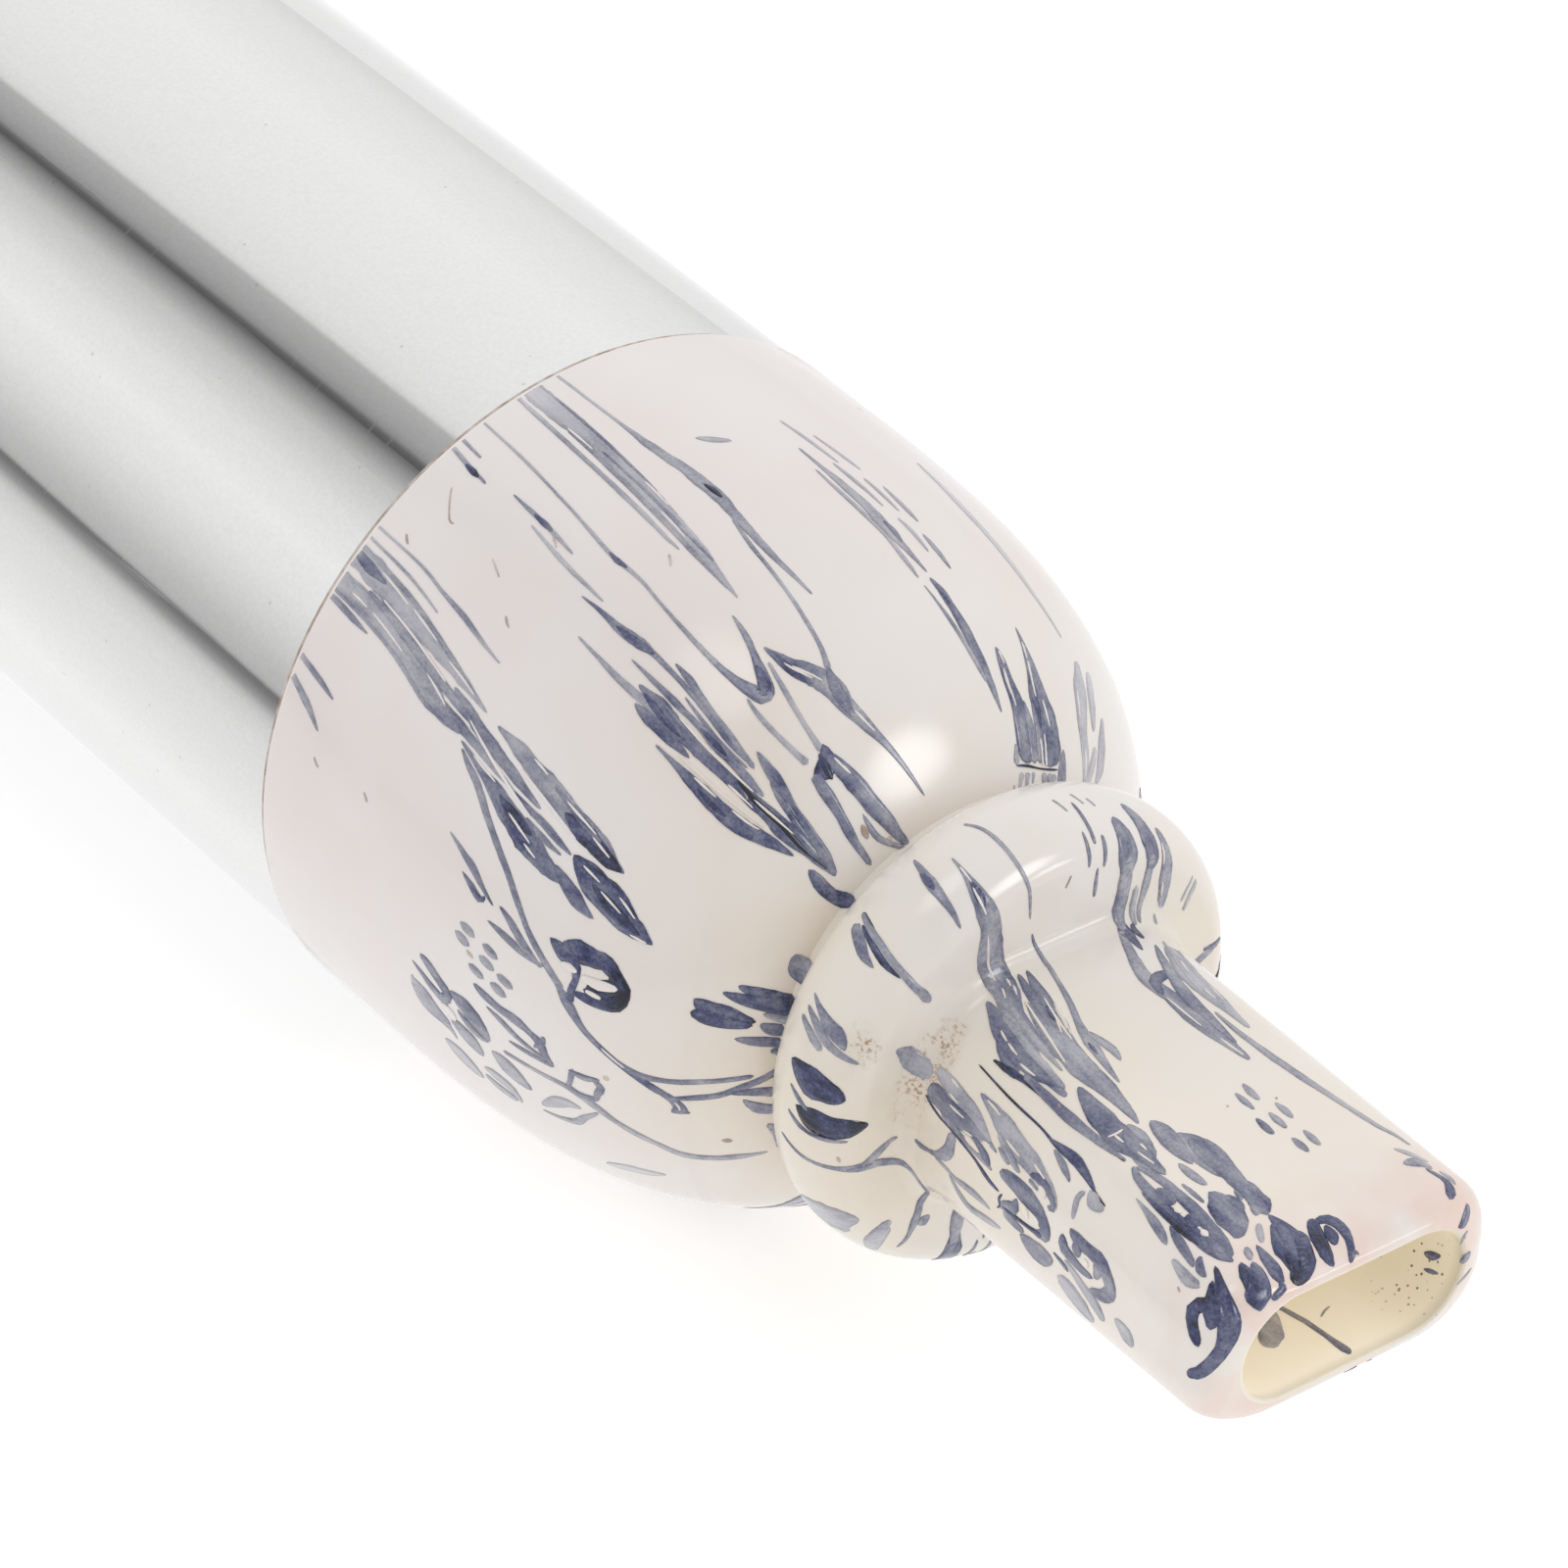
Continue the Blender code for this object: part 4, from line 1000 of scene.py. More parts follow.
DOME_SWEEP = (
    (.34, (.05, 133.3, .06), (3, 133.7, .06), (5, 134.8, .08), (6.5, 135.5, .12), (8, 136.6, .08),
     (9.2, 137.3, .03)),
    (.24, (.05, 135.2, .06), (3, 136, .06), (5.2, 137.4, .03)),
    (.24, (.05, 138.2, .5), (2, 139, .52), (4, 140.1, .46), (6, 141.2, .32), (8, 142.4, .24),
     (10, 143.9, .04)),
    (.52, (.05, 138, .2), (1, 138.6, .22), (2.2, 138.9, .06)),
    (.44, (.05, 136.8, .09), (3, 137.8, .1), (5, 139.1, .1), (7, 140.9, .1), (9, 142.8, .05)),
    (.28, (.05, 142.6, .36), (1.5, 142.8, .4), (3, 143.5, .4), (5, 144.9, .46), (7, 146.9, .5),
     (8.2, 148, .34), (9.4, 148.7, .05)),
    (.46, (.05, 144.2, .07), (3, 145.1, .08), (5, 146.4, .1), (7, 148.4, .1), (8.4, 148.8, .04)),
    (.4, (1.6, 141.2, .06), (4, 142.5, .2), (6, 143.8, .22), (8, 145.2, .2), (9.8, 146.4, .1)),
    (.5, (.05, 145.3, .12), (1.5, 145.8, .13), (2.7, 146.2, .03)),
    (.42, (8, 144, .06), (9, 145, .2), (10, 146.2, .28), (11, 147.1, .28), (12, 148, .26), (13, 149, .2),
     (14.4, 150.3, .06)),
    (.46, (7.6, 146.4, .05), (9, 147.6, .2), (10.4, 148.6, .18), (11.8, 149.7, .12), (13, 150.6, .04)),
    (.38, (10.8, 144.4, .05), (12, 145, .26), (13, 145.7, .36), (14, 146.6, .42), (15, 147.6, .42),
     (16, 148.6, .48), (17, 149.5, .46), (17.9, 150.6, .34), (18.8, 151.4, .05)),
    (.76, (15.4, 148.6, .06), (16.3, 149.3, .34), (17.1, 150, .4), (17.9, 150.9, .3), (18.7, 151.4, .06)),
    (.6, (14.5, 146.4, .04), (15.6, 147.2, .16), (16.6, 148.4, .14), (17.4, 149.2, .04)),
    (.55, (9.6, 149.4, .04), (11, 150.8, .16), (12, 152, .32), (13, 153.5, .46), (14, 154.8, .54),
     (15, 156.2, .48), (15.9, 157.3, .34), (16.8, 158, .08)),
    (.78, (12.4, 152.2, .04), (13.2, 153.3, .24), (13.9, 153.8, .24), (14.6, 154.4, .06)),
    (.64, (12.8, 150.5, .05), (14, 151.4, .12), (15, 152, .16), (16, 153, .1), (16.5, 153.5, .03)),
    (.6, (14, 152.6, .04), (15.2, 153.9, .13), (16.1, 154.4, .04)),
    (.72, (16.6, 153.2, .08), (17.2, 154.4, .46), (18, 155.6, .72), (19, 157, .7), (19.8, 158.3, .52),
     (20.4, 159.2, .3), (21, 160, .04)),
    (.92, (17.8, 155.6, .06), (18.7, 157, .24), (19.6, 158.3, .22), (20.4, 159.4, .05)),
    (.66, (16, 156.2, .06), (16.8, 157.8, .3), (17.5, 159.3, .3), (18.4, 160.6, .05)),
    (.45, (.05, 155.1, .13), (1.5, 156.2, .14), (2.6, 157.2, .03)),
    (.48, (.05, 158.5, .14), (1.4, 160.6, .16), (2.4, 162.8, .04)),
)
DOME_VINES = (
    (.55, (9.8, 150.3, .04), (10.5, 151.6, .14), (11.5, 153.6, .17), (12.7, 157.2, .16), (14, 160.9, .16),
     (15, 164.6, .15), (16, 168.5, .14), (17, 171.8, .15), (17.9, 174.8, .2)),
    (.58, (17.6, 174, .1), (18.2, 176.6, .24), (19, 180.4, .15), (20, 183.6, .13), (21, 186.6, .15),
     (21.9, 189.2, .18), (22.6, 191.6, .18), (22.9, 193.6, .24), (22.95, 195, .34), (22.95, 196, .4)),
    (.52, (20.3, 184.4, .08), (21.4, 186.8, .15), (22.5, 187.4, .14), (23.5, 187, .14), (24.5, 186.5, .13),
     (26, 185.6, .1)),
    (.56, (22.6, 191.8, .1), (23.5, 191.4, .14), (24.5, 190.8, .14), (25.3, 189.4, .16), (26.3, 187, .16),
     (27.1, 184.2, .14)),
    (.54, (25, 190.2, .08), (26.2, 191, .24), (27.1, 192.2, .28)),
    (.48, (25.5, 192.8, .05), (25.8, 195, .18), (26.2, 197, .26), (27.1, 199.3, .2)),
    (.34, (15, 192.8, .1), (16, 193.3, .1), (17, 193.9, .11), (18, 194.5, .14), (18.8, 196, .2)),
    (.24, (18.4, 195.2, .1), (19.3, 197.6, .18), (19.9, 200, .15), (20.6, 202.5, .16), (21.6, 206, .16),
     (22.3, 209, .17), (23.3, 210.8, .18), (24.4, 212.2, .17), (25.6, 213.6, .06)),
    (.24, (19.3, 199.2, .08), (18.6, 201.4, .14), (18, 203.6, .2), (17.2, 204.2, .12), (16.3, 204, .04)),
    (.14, (18.5, 199.3, .08), (17.8, 199, .28), (17.1, 200.2, .3), (16.4, 202.4, .12)),
    (.46, (18.5, 189.9, .06), (18.4, 191.3, .14), (18.3, 193, .12), (18.2, 194.5, .14), (18.8, 195.6, .16),
     (19.5, 195.6, .16)),
    (.5, (18.3, 190.4, .06), (19, 190.9, .16), (19.7, 190.5, .06)),
    (.5, (19.4, 190.8, .08), (19.7, 192.2, .2), (19.5, 194, .18), (19.4, 195.8, .08)),
    (.36, (26.2, 203, .1), (26.4, 208, .22), (26.2, 214, .2)),
)
DOME_BLOSSOMS = (
    (.62, (10.9, 161.6, .03), (11.8, 162.9, .13), (12.6, 164.3, .2), (13.3, 166, .12), (14, 167.6, .04)),
    (.6, (12.1, 165.7, .03), (12.7, 166.8, .15), (13.3, 167.9, .16), (13.5, 167, .06)),
    (.52, (13.9, 170.3, .04), (14.6, 170.8, .14), (15.4, 171.5, .17), (16.1, 172.2, .1),
     (16.9, 172.4, .08)),
    (.6, (14.3, 167, .05), (15, 168.4, .17), (15.6, 170, .18), (16.3, 171.6, .12), (16.8, 172.8, .08)),
    (.76, (16.9, 167.1, .06), (17.6, 168.3, .36), (18.2, 169.6, .3), (18.4, 171.6, .16), (18.3, 174, .16),
     (18.3, 176.4, .2)),
    (.8, (17.5, 166.6, .1), (18.2, 166.9, .5), (18.9, 166.6, .44), (19.5, 166.7, .4), (20.1, 168.4, .3)),
    (.84, (19.8, 166.4, .14), (20.1, 168.6, .34), (20.4, 170.6, .42), (20.3, 172.8, .42), (19.8, 174.1, .3),
     (19, 174.4, .22), (18.4, 174.3, .1)),
    (.86, (20.3, 170.4, .3), (19.8, 170.8, .34), (19.3, 171.4, .22), (18.9, 172.4, .06)),
    (.84, (19.8, 172.6, .3), (19.3, 173, .2), (18.8, 172.9, .06)),
    (.42, (13.6, 182.3, .08), (14.2, 183.2, .2), (15, 184.2, .2), (15.8, 184.6, .25), (16.5, 185.8, .15),
     (17, 187, .24), (17.2, 189, .2), (17.6, 190.8, .05)),
    (.46, (14.3, 185.2, .04), (15, 186.3, .15), (15.6, 187.6, .15), (16.3, 188.8, .1), (17.3, 190.2, .1)),
    (.44, (15.4, 189.8, .04), (16.3, 190.3, .12), (17.6, 191, .08)),
    (.46, (17.2, 185.4, .08), (17.1, 187, .16), (16.7, 188.4, .08)),
    (.4, (10.5, 183.6, .1), (11, 184.6, .22), (11.6, 186.2, .24), (12.1, 187.9, .26), (11.8, 189.5, .26),
     (12, 190.8, .08)),
    (.38, (10, 186, .04), (10.6, 187.2, .14), (11.2, 188.6, .22), (11.8, 189.8, .26)),
    (.22, (9.9, 189, .08), (10, 191, .22), (10.5, 192.8, .44), (11.2, 193.8, .4), (11.9, 195.2, .18),
     (12.2, 196.9, .04)),
    (.26, (9.9, 189.6, .08), (10.6, 191, .3), (11.3, 192.6, .22), (12, 194.2, .05)),
    (.4, (12.2, 186.8, .08), (12.8, 187.6, .4), (13.4, 188.9, .5), (13.9, 190.7, .4), (14.3, 192.4, .14)),
    (.42, (12.6, 189.6, .05), (13, 191, .2), (13.6, 192.4, .2), (14.2, 192.8, .05)),
    (.28, (12.1, 192.6, .16), (12.7, 193.7, .42), (13.2, 195.2, .46), (13.7, 197, .2)),
    (.1, (11.3, 199, .1), (11.8, 200, .46), (12.4, 201.6, .5), (13.1, 203.8, .2)),
    (.12, (13.5, 200, .08), (14, 200.4, .3), (14.8, 202, .28), (15.1, 205, .1)),
    (.14, (13.4, 202, .1), (14, 203.6, .24), (14.9, 204.9, .2)),
    (.24, (14.3, 194.4, .1), (14.9, 195.8, .44), (15.4, 197.6, .44), (16.1, 199.4, .14)),
)
DOME_NECK = (
    (.54, (26.3, 150.3, .2), (26.6, 152.4, .56), (27, 154.6, .44), (27.3, 156, .2)),
    (.86, (23.2, 167.2, .06), (23.5, 168, .3), (24.1, 168.7, .4), (24.9, 169.4, .34), (25.8, 169.8, .1)),
    (.86, (23.2, 170.2, .12), (23.8, 170.5, .32), (24.6, 170.8, .32), (25.7, 170.8, .12)),
    (.74, (24.2, 164.2, .06), (24.8, 164.5, .24), (25.6, 164.7, .3), (26.5, 164.6, .42), (27.3, 164.2, .4)),
    (.74, (24.7, 161.8, .08), (25.3, 162.2, .24), (26.3, 162.6, .34), (27.3, 162.8, .34)),
    (.62, (25.1, 174.8, .06), (25.8, 175.1, .2), (26.6, 175.3, .22), (27.3, 175.6, .16)),
    (.66, (26, 170.2, .1), (26.4, 171.2, .26), (27.1, 171.6, .26)),
    (.6, (26.6, 178, .14), (27.1, 178.6, .16)),
    (.44, (26, 167.4, .06), (26.6, 167.8, .2), (27.2, 168.2, .2)),
)
DOME_FAR = (
    (.1, (7.1, 77.6, .04), (8.2, 77, .09), (9.5, 76.4, .08), (10.4, 76, .03)),
    (.14, (8.4, 75, .03), (9.4, 74.4, .08), (10.4, 73.8, .07), (11, 73.4, .03)),
    (.16, (10.4, 77, .04), (11.5, 76.6, .1), (12.6, 76.1, .08), (13.4, 75.9, .03)),
    (.3, (9.1, 79.8, .04), (10.5, 79.6, .1), (12, 79.1, .2), (13.5, 78.8, .26), (15, 78.6, .24),
     (16, 78.3, .14), (17.2, 77.7, .04)),
    (.66, (14.2, 78.2, .05), (14.9, 78, .16), (15.6, 78.2, .05)),
    (.3, (10.6, 80.9, .03), (12, 80.8, .08), (13.5, 80.4, .1), (15, 80, .08), (16.4, 80, .1),
     (17.4, 80, .04)),
    (.28, (12.2, 72.4, .05), (13.2, 72.2, .12), (14, 72, .1), (14.5, 71.9, .03)),
    (.14, (11.6, 74.5, .04), (12.6, 74.1, .09), (13.8, 73.8, .04)),
    (.24, (14.2, 75.2, .03), (15, 74.7, .1), (16.2, 74.6, .05)),
    (.36, (15.2, 73, .05), (16, 72.8, .14), (16.6, 72.7, .12), (17.2, 72.6, .04)),
    (.6, (17.5, 77.9, .05), (18.2, 77.4, .18), (19, 77.2, .2), (20, 77, .24), (21, 76.8, .26),
     (22, 76.6, .2), (23, 76.1, .12), (23.7, 75.7, .03)),
    (.85, (17.8, 77.6, .05), (18.3, 77.4, .13), (18.9, 77.3, .05)),
    (.42, (17.8, 79.9, .03), (19, 79.3, .08), (20.4, 78.6, .1), (21.6, 77.9, .1), (22.4, 77.2, .05)),
    (.56, (20.1, 65, .03), (21, 64.7, .14), (22, 64.7, .3), (22.8, 64.5, .46), (23.6, 63.8, .6),
     (24.4, 63, .66), (25.2, 62.4, .62), (25.9, 62, .56)),
    (.74, (22.2, 65.6, .05), (22.9, 65.6, .22), (23.6, 65.4, .16), (24.4, 65, .05)),
    (.5, (23.4, 66.8, .05), (24.5, 66.3, .12), (25.8, 65.7, .14)),
    (.6, (21, 72, .04), (21.6, 71.9, .2), (22.4, 71.8, .26), (23.2, 71.3, .34), (24, 70.6, .44),
     (24.8, 70.2, .54), (25.8, 70, .6)),
    (.48, (23.3, 69.1, .04), (24, 68.6, .16), (24.8, 68, .22), (25.8, 67.6, .24)),
    (.46, (25, 73.3, .06), (25.8, 73.6, .18)),
    (.98, (25.95, 59.2, .03), (26, 62, .05), (26, 66, .04), (25.9, 70, .06), (25.85, 73.9, .04)),
    (.26, (26.15, 60.4, .14), (26.9, 60.2, .08)),
    (.3, (26.15, 62.2, .2), (26.9, 61.6, .1)),
    (.24, (26.15, 64.2, .16), (26.9, 64, .05)),
    (.24, (26.15, 68, .1), (26.6, 68.2, .04)),
    (.28, (26.15, 70, .14), (26.9, 70.6, .05)),
    (.26, (26.15, 72, .14), (26.8, 73, .05)),
    (.36, (25.1, 57.6, .06), (25.8, 57.6, .24), (26.6, 57.2, .26), (27.1, 57, .1)),
    (0, (21.1, 45.6, .14), (22, 46, .28), (23, 46.2, .24), (23.8, 46, .08)),
    (.04, (20.9, 49.2, .14), (22, 50, .4), (23, 50.4, .4), (24.2, 50.2, .3), (25, 48.8, .24),
     (26.2, 47.4, .12)),
    (.08, (22.9, 42.2, .1), (24, 42.4, .28), (25, 42, .28), (25.8, 42.6, .08)),
    (.06, (24.4, 45.2, .12), (25.4, 45.8, .2), (26.3, 46.6, .08)),
    (-.24, (10, 58, .06), (12, 58, .18), (14, 57.6, .2), (16, 56.6, .18), (18, 55, .12), (20, 52, .04)),
    (-.2, (18, 217, .1), (19, 216.6, .3), (20, 217.2, .26), (20.8, 217.4, .06)),
)
BEAD_RING = (
    (.3, (29.9, 102.6, .05), (30.9, 100.8, .08), (33, 100.4, .09), (35.2, 100.1, .05)),
    (.45, (29.8, 116.2, .05), (30.5, 117, .15), (31.2, 118, .24), (32, 118.6, .2), (32.8, 119.4, .12),
     (33.4, 120.4, .04)),
    (.8, (30.6, 117.8, .05), (31.1, 118.2, .16), (31.6, 118.5, .05)),
    (.45, (29.8, 132, .1), (30.6, 133.6, .14), (31.6, 135, .16), (32.6, 136.4, .14), (33.5, 137.6, .16),
     (34.4, 138.2, .2), (35.1, 138, .08)),
    (.95, (29.8, 131.8, .08), (30.6, 133.2, .12), (31.4, 134.6, .05)),
    (.95, (30.2, 134, .05), (31, 135.6, .12), (32, 137.4, .14), (32.9, 138, .04)),
    (.42, (29.8, 135, .2), (30.6, 137, .24), (31.2, 138.8, .18), (31.8, 139.6, .04)),
    (.5, (30, 152, .04), (30.6, 153.6, .14), (31.4, 155.4, .3), (32, 156.6, .34), (32.4, 158.6, .08)),
    (.52, (30, 155, .08), (30.8, 157, .2), (31.6, 159.2, .2), (32.6, 160.2, .12), (33.1, 160.2, .04)),
    (.52, (29.9, 157.6, .08), (30.7, 159.6, .2), (31.5, 161.4, .14)),
    (.82, (30.2, 167.6, .1), (30.7, 168.4, .4), (31.4, 169.6, .62), (32.1, 170, .6), (32.7, 170, .42),
     (33.05, 170.2, .08)),
    (.95, (31, 176.8, .08), (31.6, 178, .45), (32.3, 178.5, .6), (33, 178, .5), (33.7, 177.6, .32),
     (34.25, 177.5, .06)),
    (.62, (30.5, 173, .04), (31.1, 175, .12), (31.6, 176.4, .05)),
    (.6, (30.6, 179.4, .05), (31.2, 181.2, .1), (32, 182.4, .05)),
    (.55, (31.2, 181.8, .04), (32.4, 182.2, .1), (33.4, 181.8, .04)),
    (.46, (30.2, 187.6, .05), (31.4, 189.8, .08), (32.8, 190.3, .1), (33.9, 191, .22), (34.8, 192.6, .2),
     (35.7, 195.2, .18), (36.45, 198, .14), (36.85, 202.6, .07), (36.98, 210, .06), (36.9, 218, .07),
     (36.4, 222.6, .14), (35.8, 225, .2), (35, 226.6, .24), (34.3, 227.2, .14), (33.4, 228.2, .05)),
    (.6, (33.3, 190.7, .05), (33.9, 191.2, .16), (34.7, 192.4, .06)),
    (.42, (33.9, 190.4, .1), (34.7, 190, .2), (35.7, 188.4, .18), (36.4, 187, .05)),
    (.46, (34.9, 228.6, .1), (35.2, 230, .3), (35.6, 231.6, .1)),
    (.12, (30.4, 208, .3), (31, 209, .8), (31.8, 210, 1.15), (32.5, 209.5, .9), (33.2, 210, .3)),
    (.12, (32.3, 228, .3), (32.9, 222, .45), (33.5, 218.5, .45), (33.9, 217, .3), (34.2, 217.5, .08)),
    (.3, (33.6, 36.9, .1), (34.5, 34.9, .12), (35.3, 33.5, .1)),
    (.25, (33.6, 39, .06), (35, 37, .08)),
    (.42, (32.5, 56.4, .1), (33.4, 52.9, .3), (34.5, 49.4, .35), (35.5, 46, .25), (36.05, 43.9, .1)),
    (.52, (31.5, 64.7, .15), (32.7, 61.2, .4), (33.7, 58.4, .4), (34.4, 56.8, .1)),
    (.32, (33.6, 58.2, .2), (34.8, 56.4, .22), (35.9, 55, .16), (36.9, 53.6, .1)),
    (.6, (32.2, 70.3, .2), (33.2, 68.6, .5), (34.1, 66.8, .45), (34.9, 65.8, .2)),
    (.4, (33.8, 66.9, .2), (35, 65.4, .35), (35.9, 64, .35), (36.6, 63.3, .3), (37.2, 62.8, .1)),
    (.3, (35.2, 59.8, .15), (36.6, 57, .15), (37, 56.4, .06)),
    (.65, (36.9, 58, .08), (37.35, 58.5, .16), (37.8, 58.2, .06)),
    (.45, (31.2, 78.6, .05), (32, 78.7, .08), (33, 78.6, .08), (33.2, 78.6, .03)),
    (.55, (32.9, 75.9, .05), (33.5, 75.7, .1), (34.2, 75.4, .05)),
    (.5, (32.6, 81, .04), (33.4, 81, .1), (34.1, 80.8, .05)),
    (.55, (34.2, 77.5, .04), (34.9, 76.9, .09), (35.4, 76.3, .06)),
    (.22, (31.1, 73.8, .05), (31.6, 73.2, .04)),
    (.25, (30.7, 76.6, .05), (31.4, 75.8, .04)),
    (.22, (30.8, 82.2, .05), (31.6, 81.4, .04)),
    (.5, (36.4, 46, .06), (36.8, 44.2, .1)),
)
BEAK_LEFT = (
    (.32, (35.8, 99.3, .04), (36.5, 98, .08), (37.2, 98, .09), (38, 99.6, .1), (39, 102.2, .12),
     (39.9, 105.2, .14), (40.6, 107.7, .18), (41.6, 110, .24), (42.7, 112, .16), (43.7, 113.3, .04)),
    (.34, (40.9, 107.6, .1), (41.5, 106.2, .2), (42.2, 105, .2), (42.8, 105.9, .05)),
    (.8, (41.4, 110.4, .04), (41.8, 110.9, .1), (42.1, 111.2, .04)),
    (.4, (31, 110.8, .03), (32, 111.4, .14), (33, 112.3, .34), (33.8, 112.9, .5), (35, 114.2, .58),
     (36, 115.4, .62), (36.9, 117, .62), (37.7, 119, .56), (38.3, 121, .4)),
    (.75, (32.2, 111.6, .05), (32.9, 112.2, .2), (33.4, 112.8, .06)),
    (.48, (36, 115.4, .4), (36.8, 116.8, .56), (37.5, 118.5, .52), (38.2, 121.5, .5), (39, 124.5, .3),
     (39.6, 126.5, .1)),
    (.42, (38.2, 121.5, .08), (39.2, 123.2, .15), (40.2, 124.6, .15), (41.2, 125.6, .12), (42, 126.2, .04)),
    (.44, (38.4, 126.2, .08), (39.6, 127.4, .16), (40.6, 128.8, .15), (41.6, 129.5, .16),
     (42.7, 130.4, .08)),
    (.66, (40.9, 128.2, .05), (41.5, 129, .12), (42.1, 129.6, .05)),
    (.76, (37.6, 119.2, .1), (38.2, 121.2, .32), (38.8, 123.6, .24), (39.3, 125.4, .05)),
    (.4, (37.1, 106.2, .06), (38, 108.5, .24), (39, 110.5, .28), (39.8, 112.2, .3), (40.6, 115.2, .34),
     (41.5, 117.8, .42), (42.5, 119, .46), (43.5, 119.2, .44), (44.5, 119.5, .3), (45.2, 119.9, .18),
     (45.8, 120.7, .04)),
    (.75, (39, 111.4, .06), (39.5, 112.4, .16), (40, 113.2, .06)),
    (.5, (37.1, 110, .08), (38, 112, .2), (39, 114.5, .2), (39.8, 116.3, .18), (40.6, 117.8, .14),
     (41.4, 118.8, .05)),
    (.42, (38.5, 116, .08), (39.5, 118.5, .22), (40.5, 120.3, .26), (41.5, 121.6, .28), (42.5, 122.3, .24),
     (43.6, 122.5, .08)),
    (.58, (38, 119, .14), (39, 121.5, .2), (40, 123.3, .16), (41, 123.8, .08), (41.4, 124, .03)),
    (.48, (38.6, 123.5, .12), (39.4, 125.5, .26), (40.2, 128, .3), (41, 130.5, .24), (41.8, 131.8, .2),
     (42.8, 132, .14), (43, 131.8, .04)),
    (.6, (38.4, 126.6, .06), (38.7, 129, .24), (39.2, 131.5, .38), (39.7, 133.5, .42), (40.2, 136, .38),
     (40.6, 138, .26), (40.9, 138.8, .06)),
    (1.02, (39.5, 139.5, .04), (40.3, 138.8, .14), (41.3, 137.8, .1), (43, 137.5, .05), (45, 136.8, .04),
     (46.9, 135.4, .03)),
    (.5, (41, 136.4, .12), (43, 136.8, .22), (44.5, 136.7, .22), (46, 135.9, .12), (46.9, 134.8, .04)),
    (.5, (43, 126.6, .08), (43.7, 127.7, .32), (44.5, 129, .45), (45.4, 129.5, .4), (45.9, 129.2, .12)),
    (.54, (45.9, 127.8, .14), (46.5, 128.5, .4), (47.2, 128.8, .32), (48.4, 128.5, .14)),
    (.45, (45.6, 124.3, .08), (46.3, 123.6, .22), (47, 123.4, .06)),
    (.48, (46, 124, .06), (46.6, 125, .28), (47.2, 126.8, .28), (47.6, 128.6, .1)),
    (.72, (45.4, 126.5, .06), (46.2, 127.2, .18), (47, 129.2, .2), (47.4, 130.6, .05)),
    (.62, (44.2, 128.5, .05), (45, 130, .2), (45.8, 130.6, .06)),
    (.48, (46.6, 131.8, .06), (47.4, 131.4, .2), (48, 131, .05)),
    (1, (39.1, 144, .03), (41.3, 145.6, .05), (43.1, 146, .05), (44.2, 147.3, .07), (45.2, 147.7, .06),
     (46.3, 149.2, .05), (47.6, 151.6, .03)),
    (.75, (43.6, 147, .03), (44.4, 146.2, .12), (45.2, 146.4, .24), (45.9, 147.4, .18), (46.5, 148.8, .08),
     (46.8, 149.8, .03)),
    (.6, (44.2, 148.6, .08), (44.9, 150.4, .16), (45.4, 152.3, .1), (45.6, 153.6, .03)),
    (.4, (46.5, 163.4, .06), (46.4, 159.2, .15), (46.3, 155.5, .14), (46.45, 152.4, .1)),
    (.22, (46.6, 150.9, .08), (46.95, 152.4, .3), (47.35, 153.4, .2), (47.6, 152.4, .08)),
    (.62, (37.4, 126, .08), (38.4, 128.6, .34), (39.4, 131.2, .44), (40.4, 132.6, .4), (41.6, 132.6, .28),
     (42.6, 131, .05)),
    (.54, (43.3, 128.4, .1), (44.6, 130, .4), (45.8, 129.8, .52), (47, 128.8, .4), (48, 128, .06)),
    (.46, (47.4, 110.2, .2), (48.4, 108.4, .46), (49.4, 107.8, .44), (50.4, 108.6, .34), (51.4, 111.4, .1)),
)
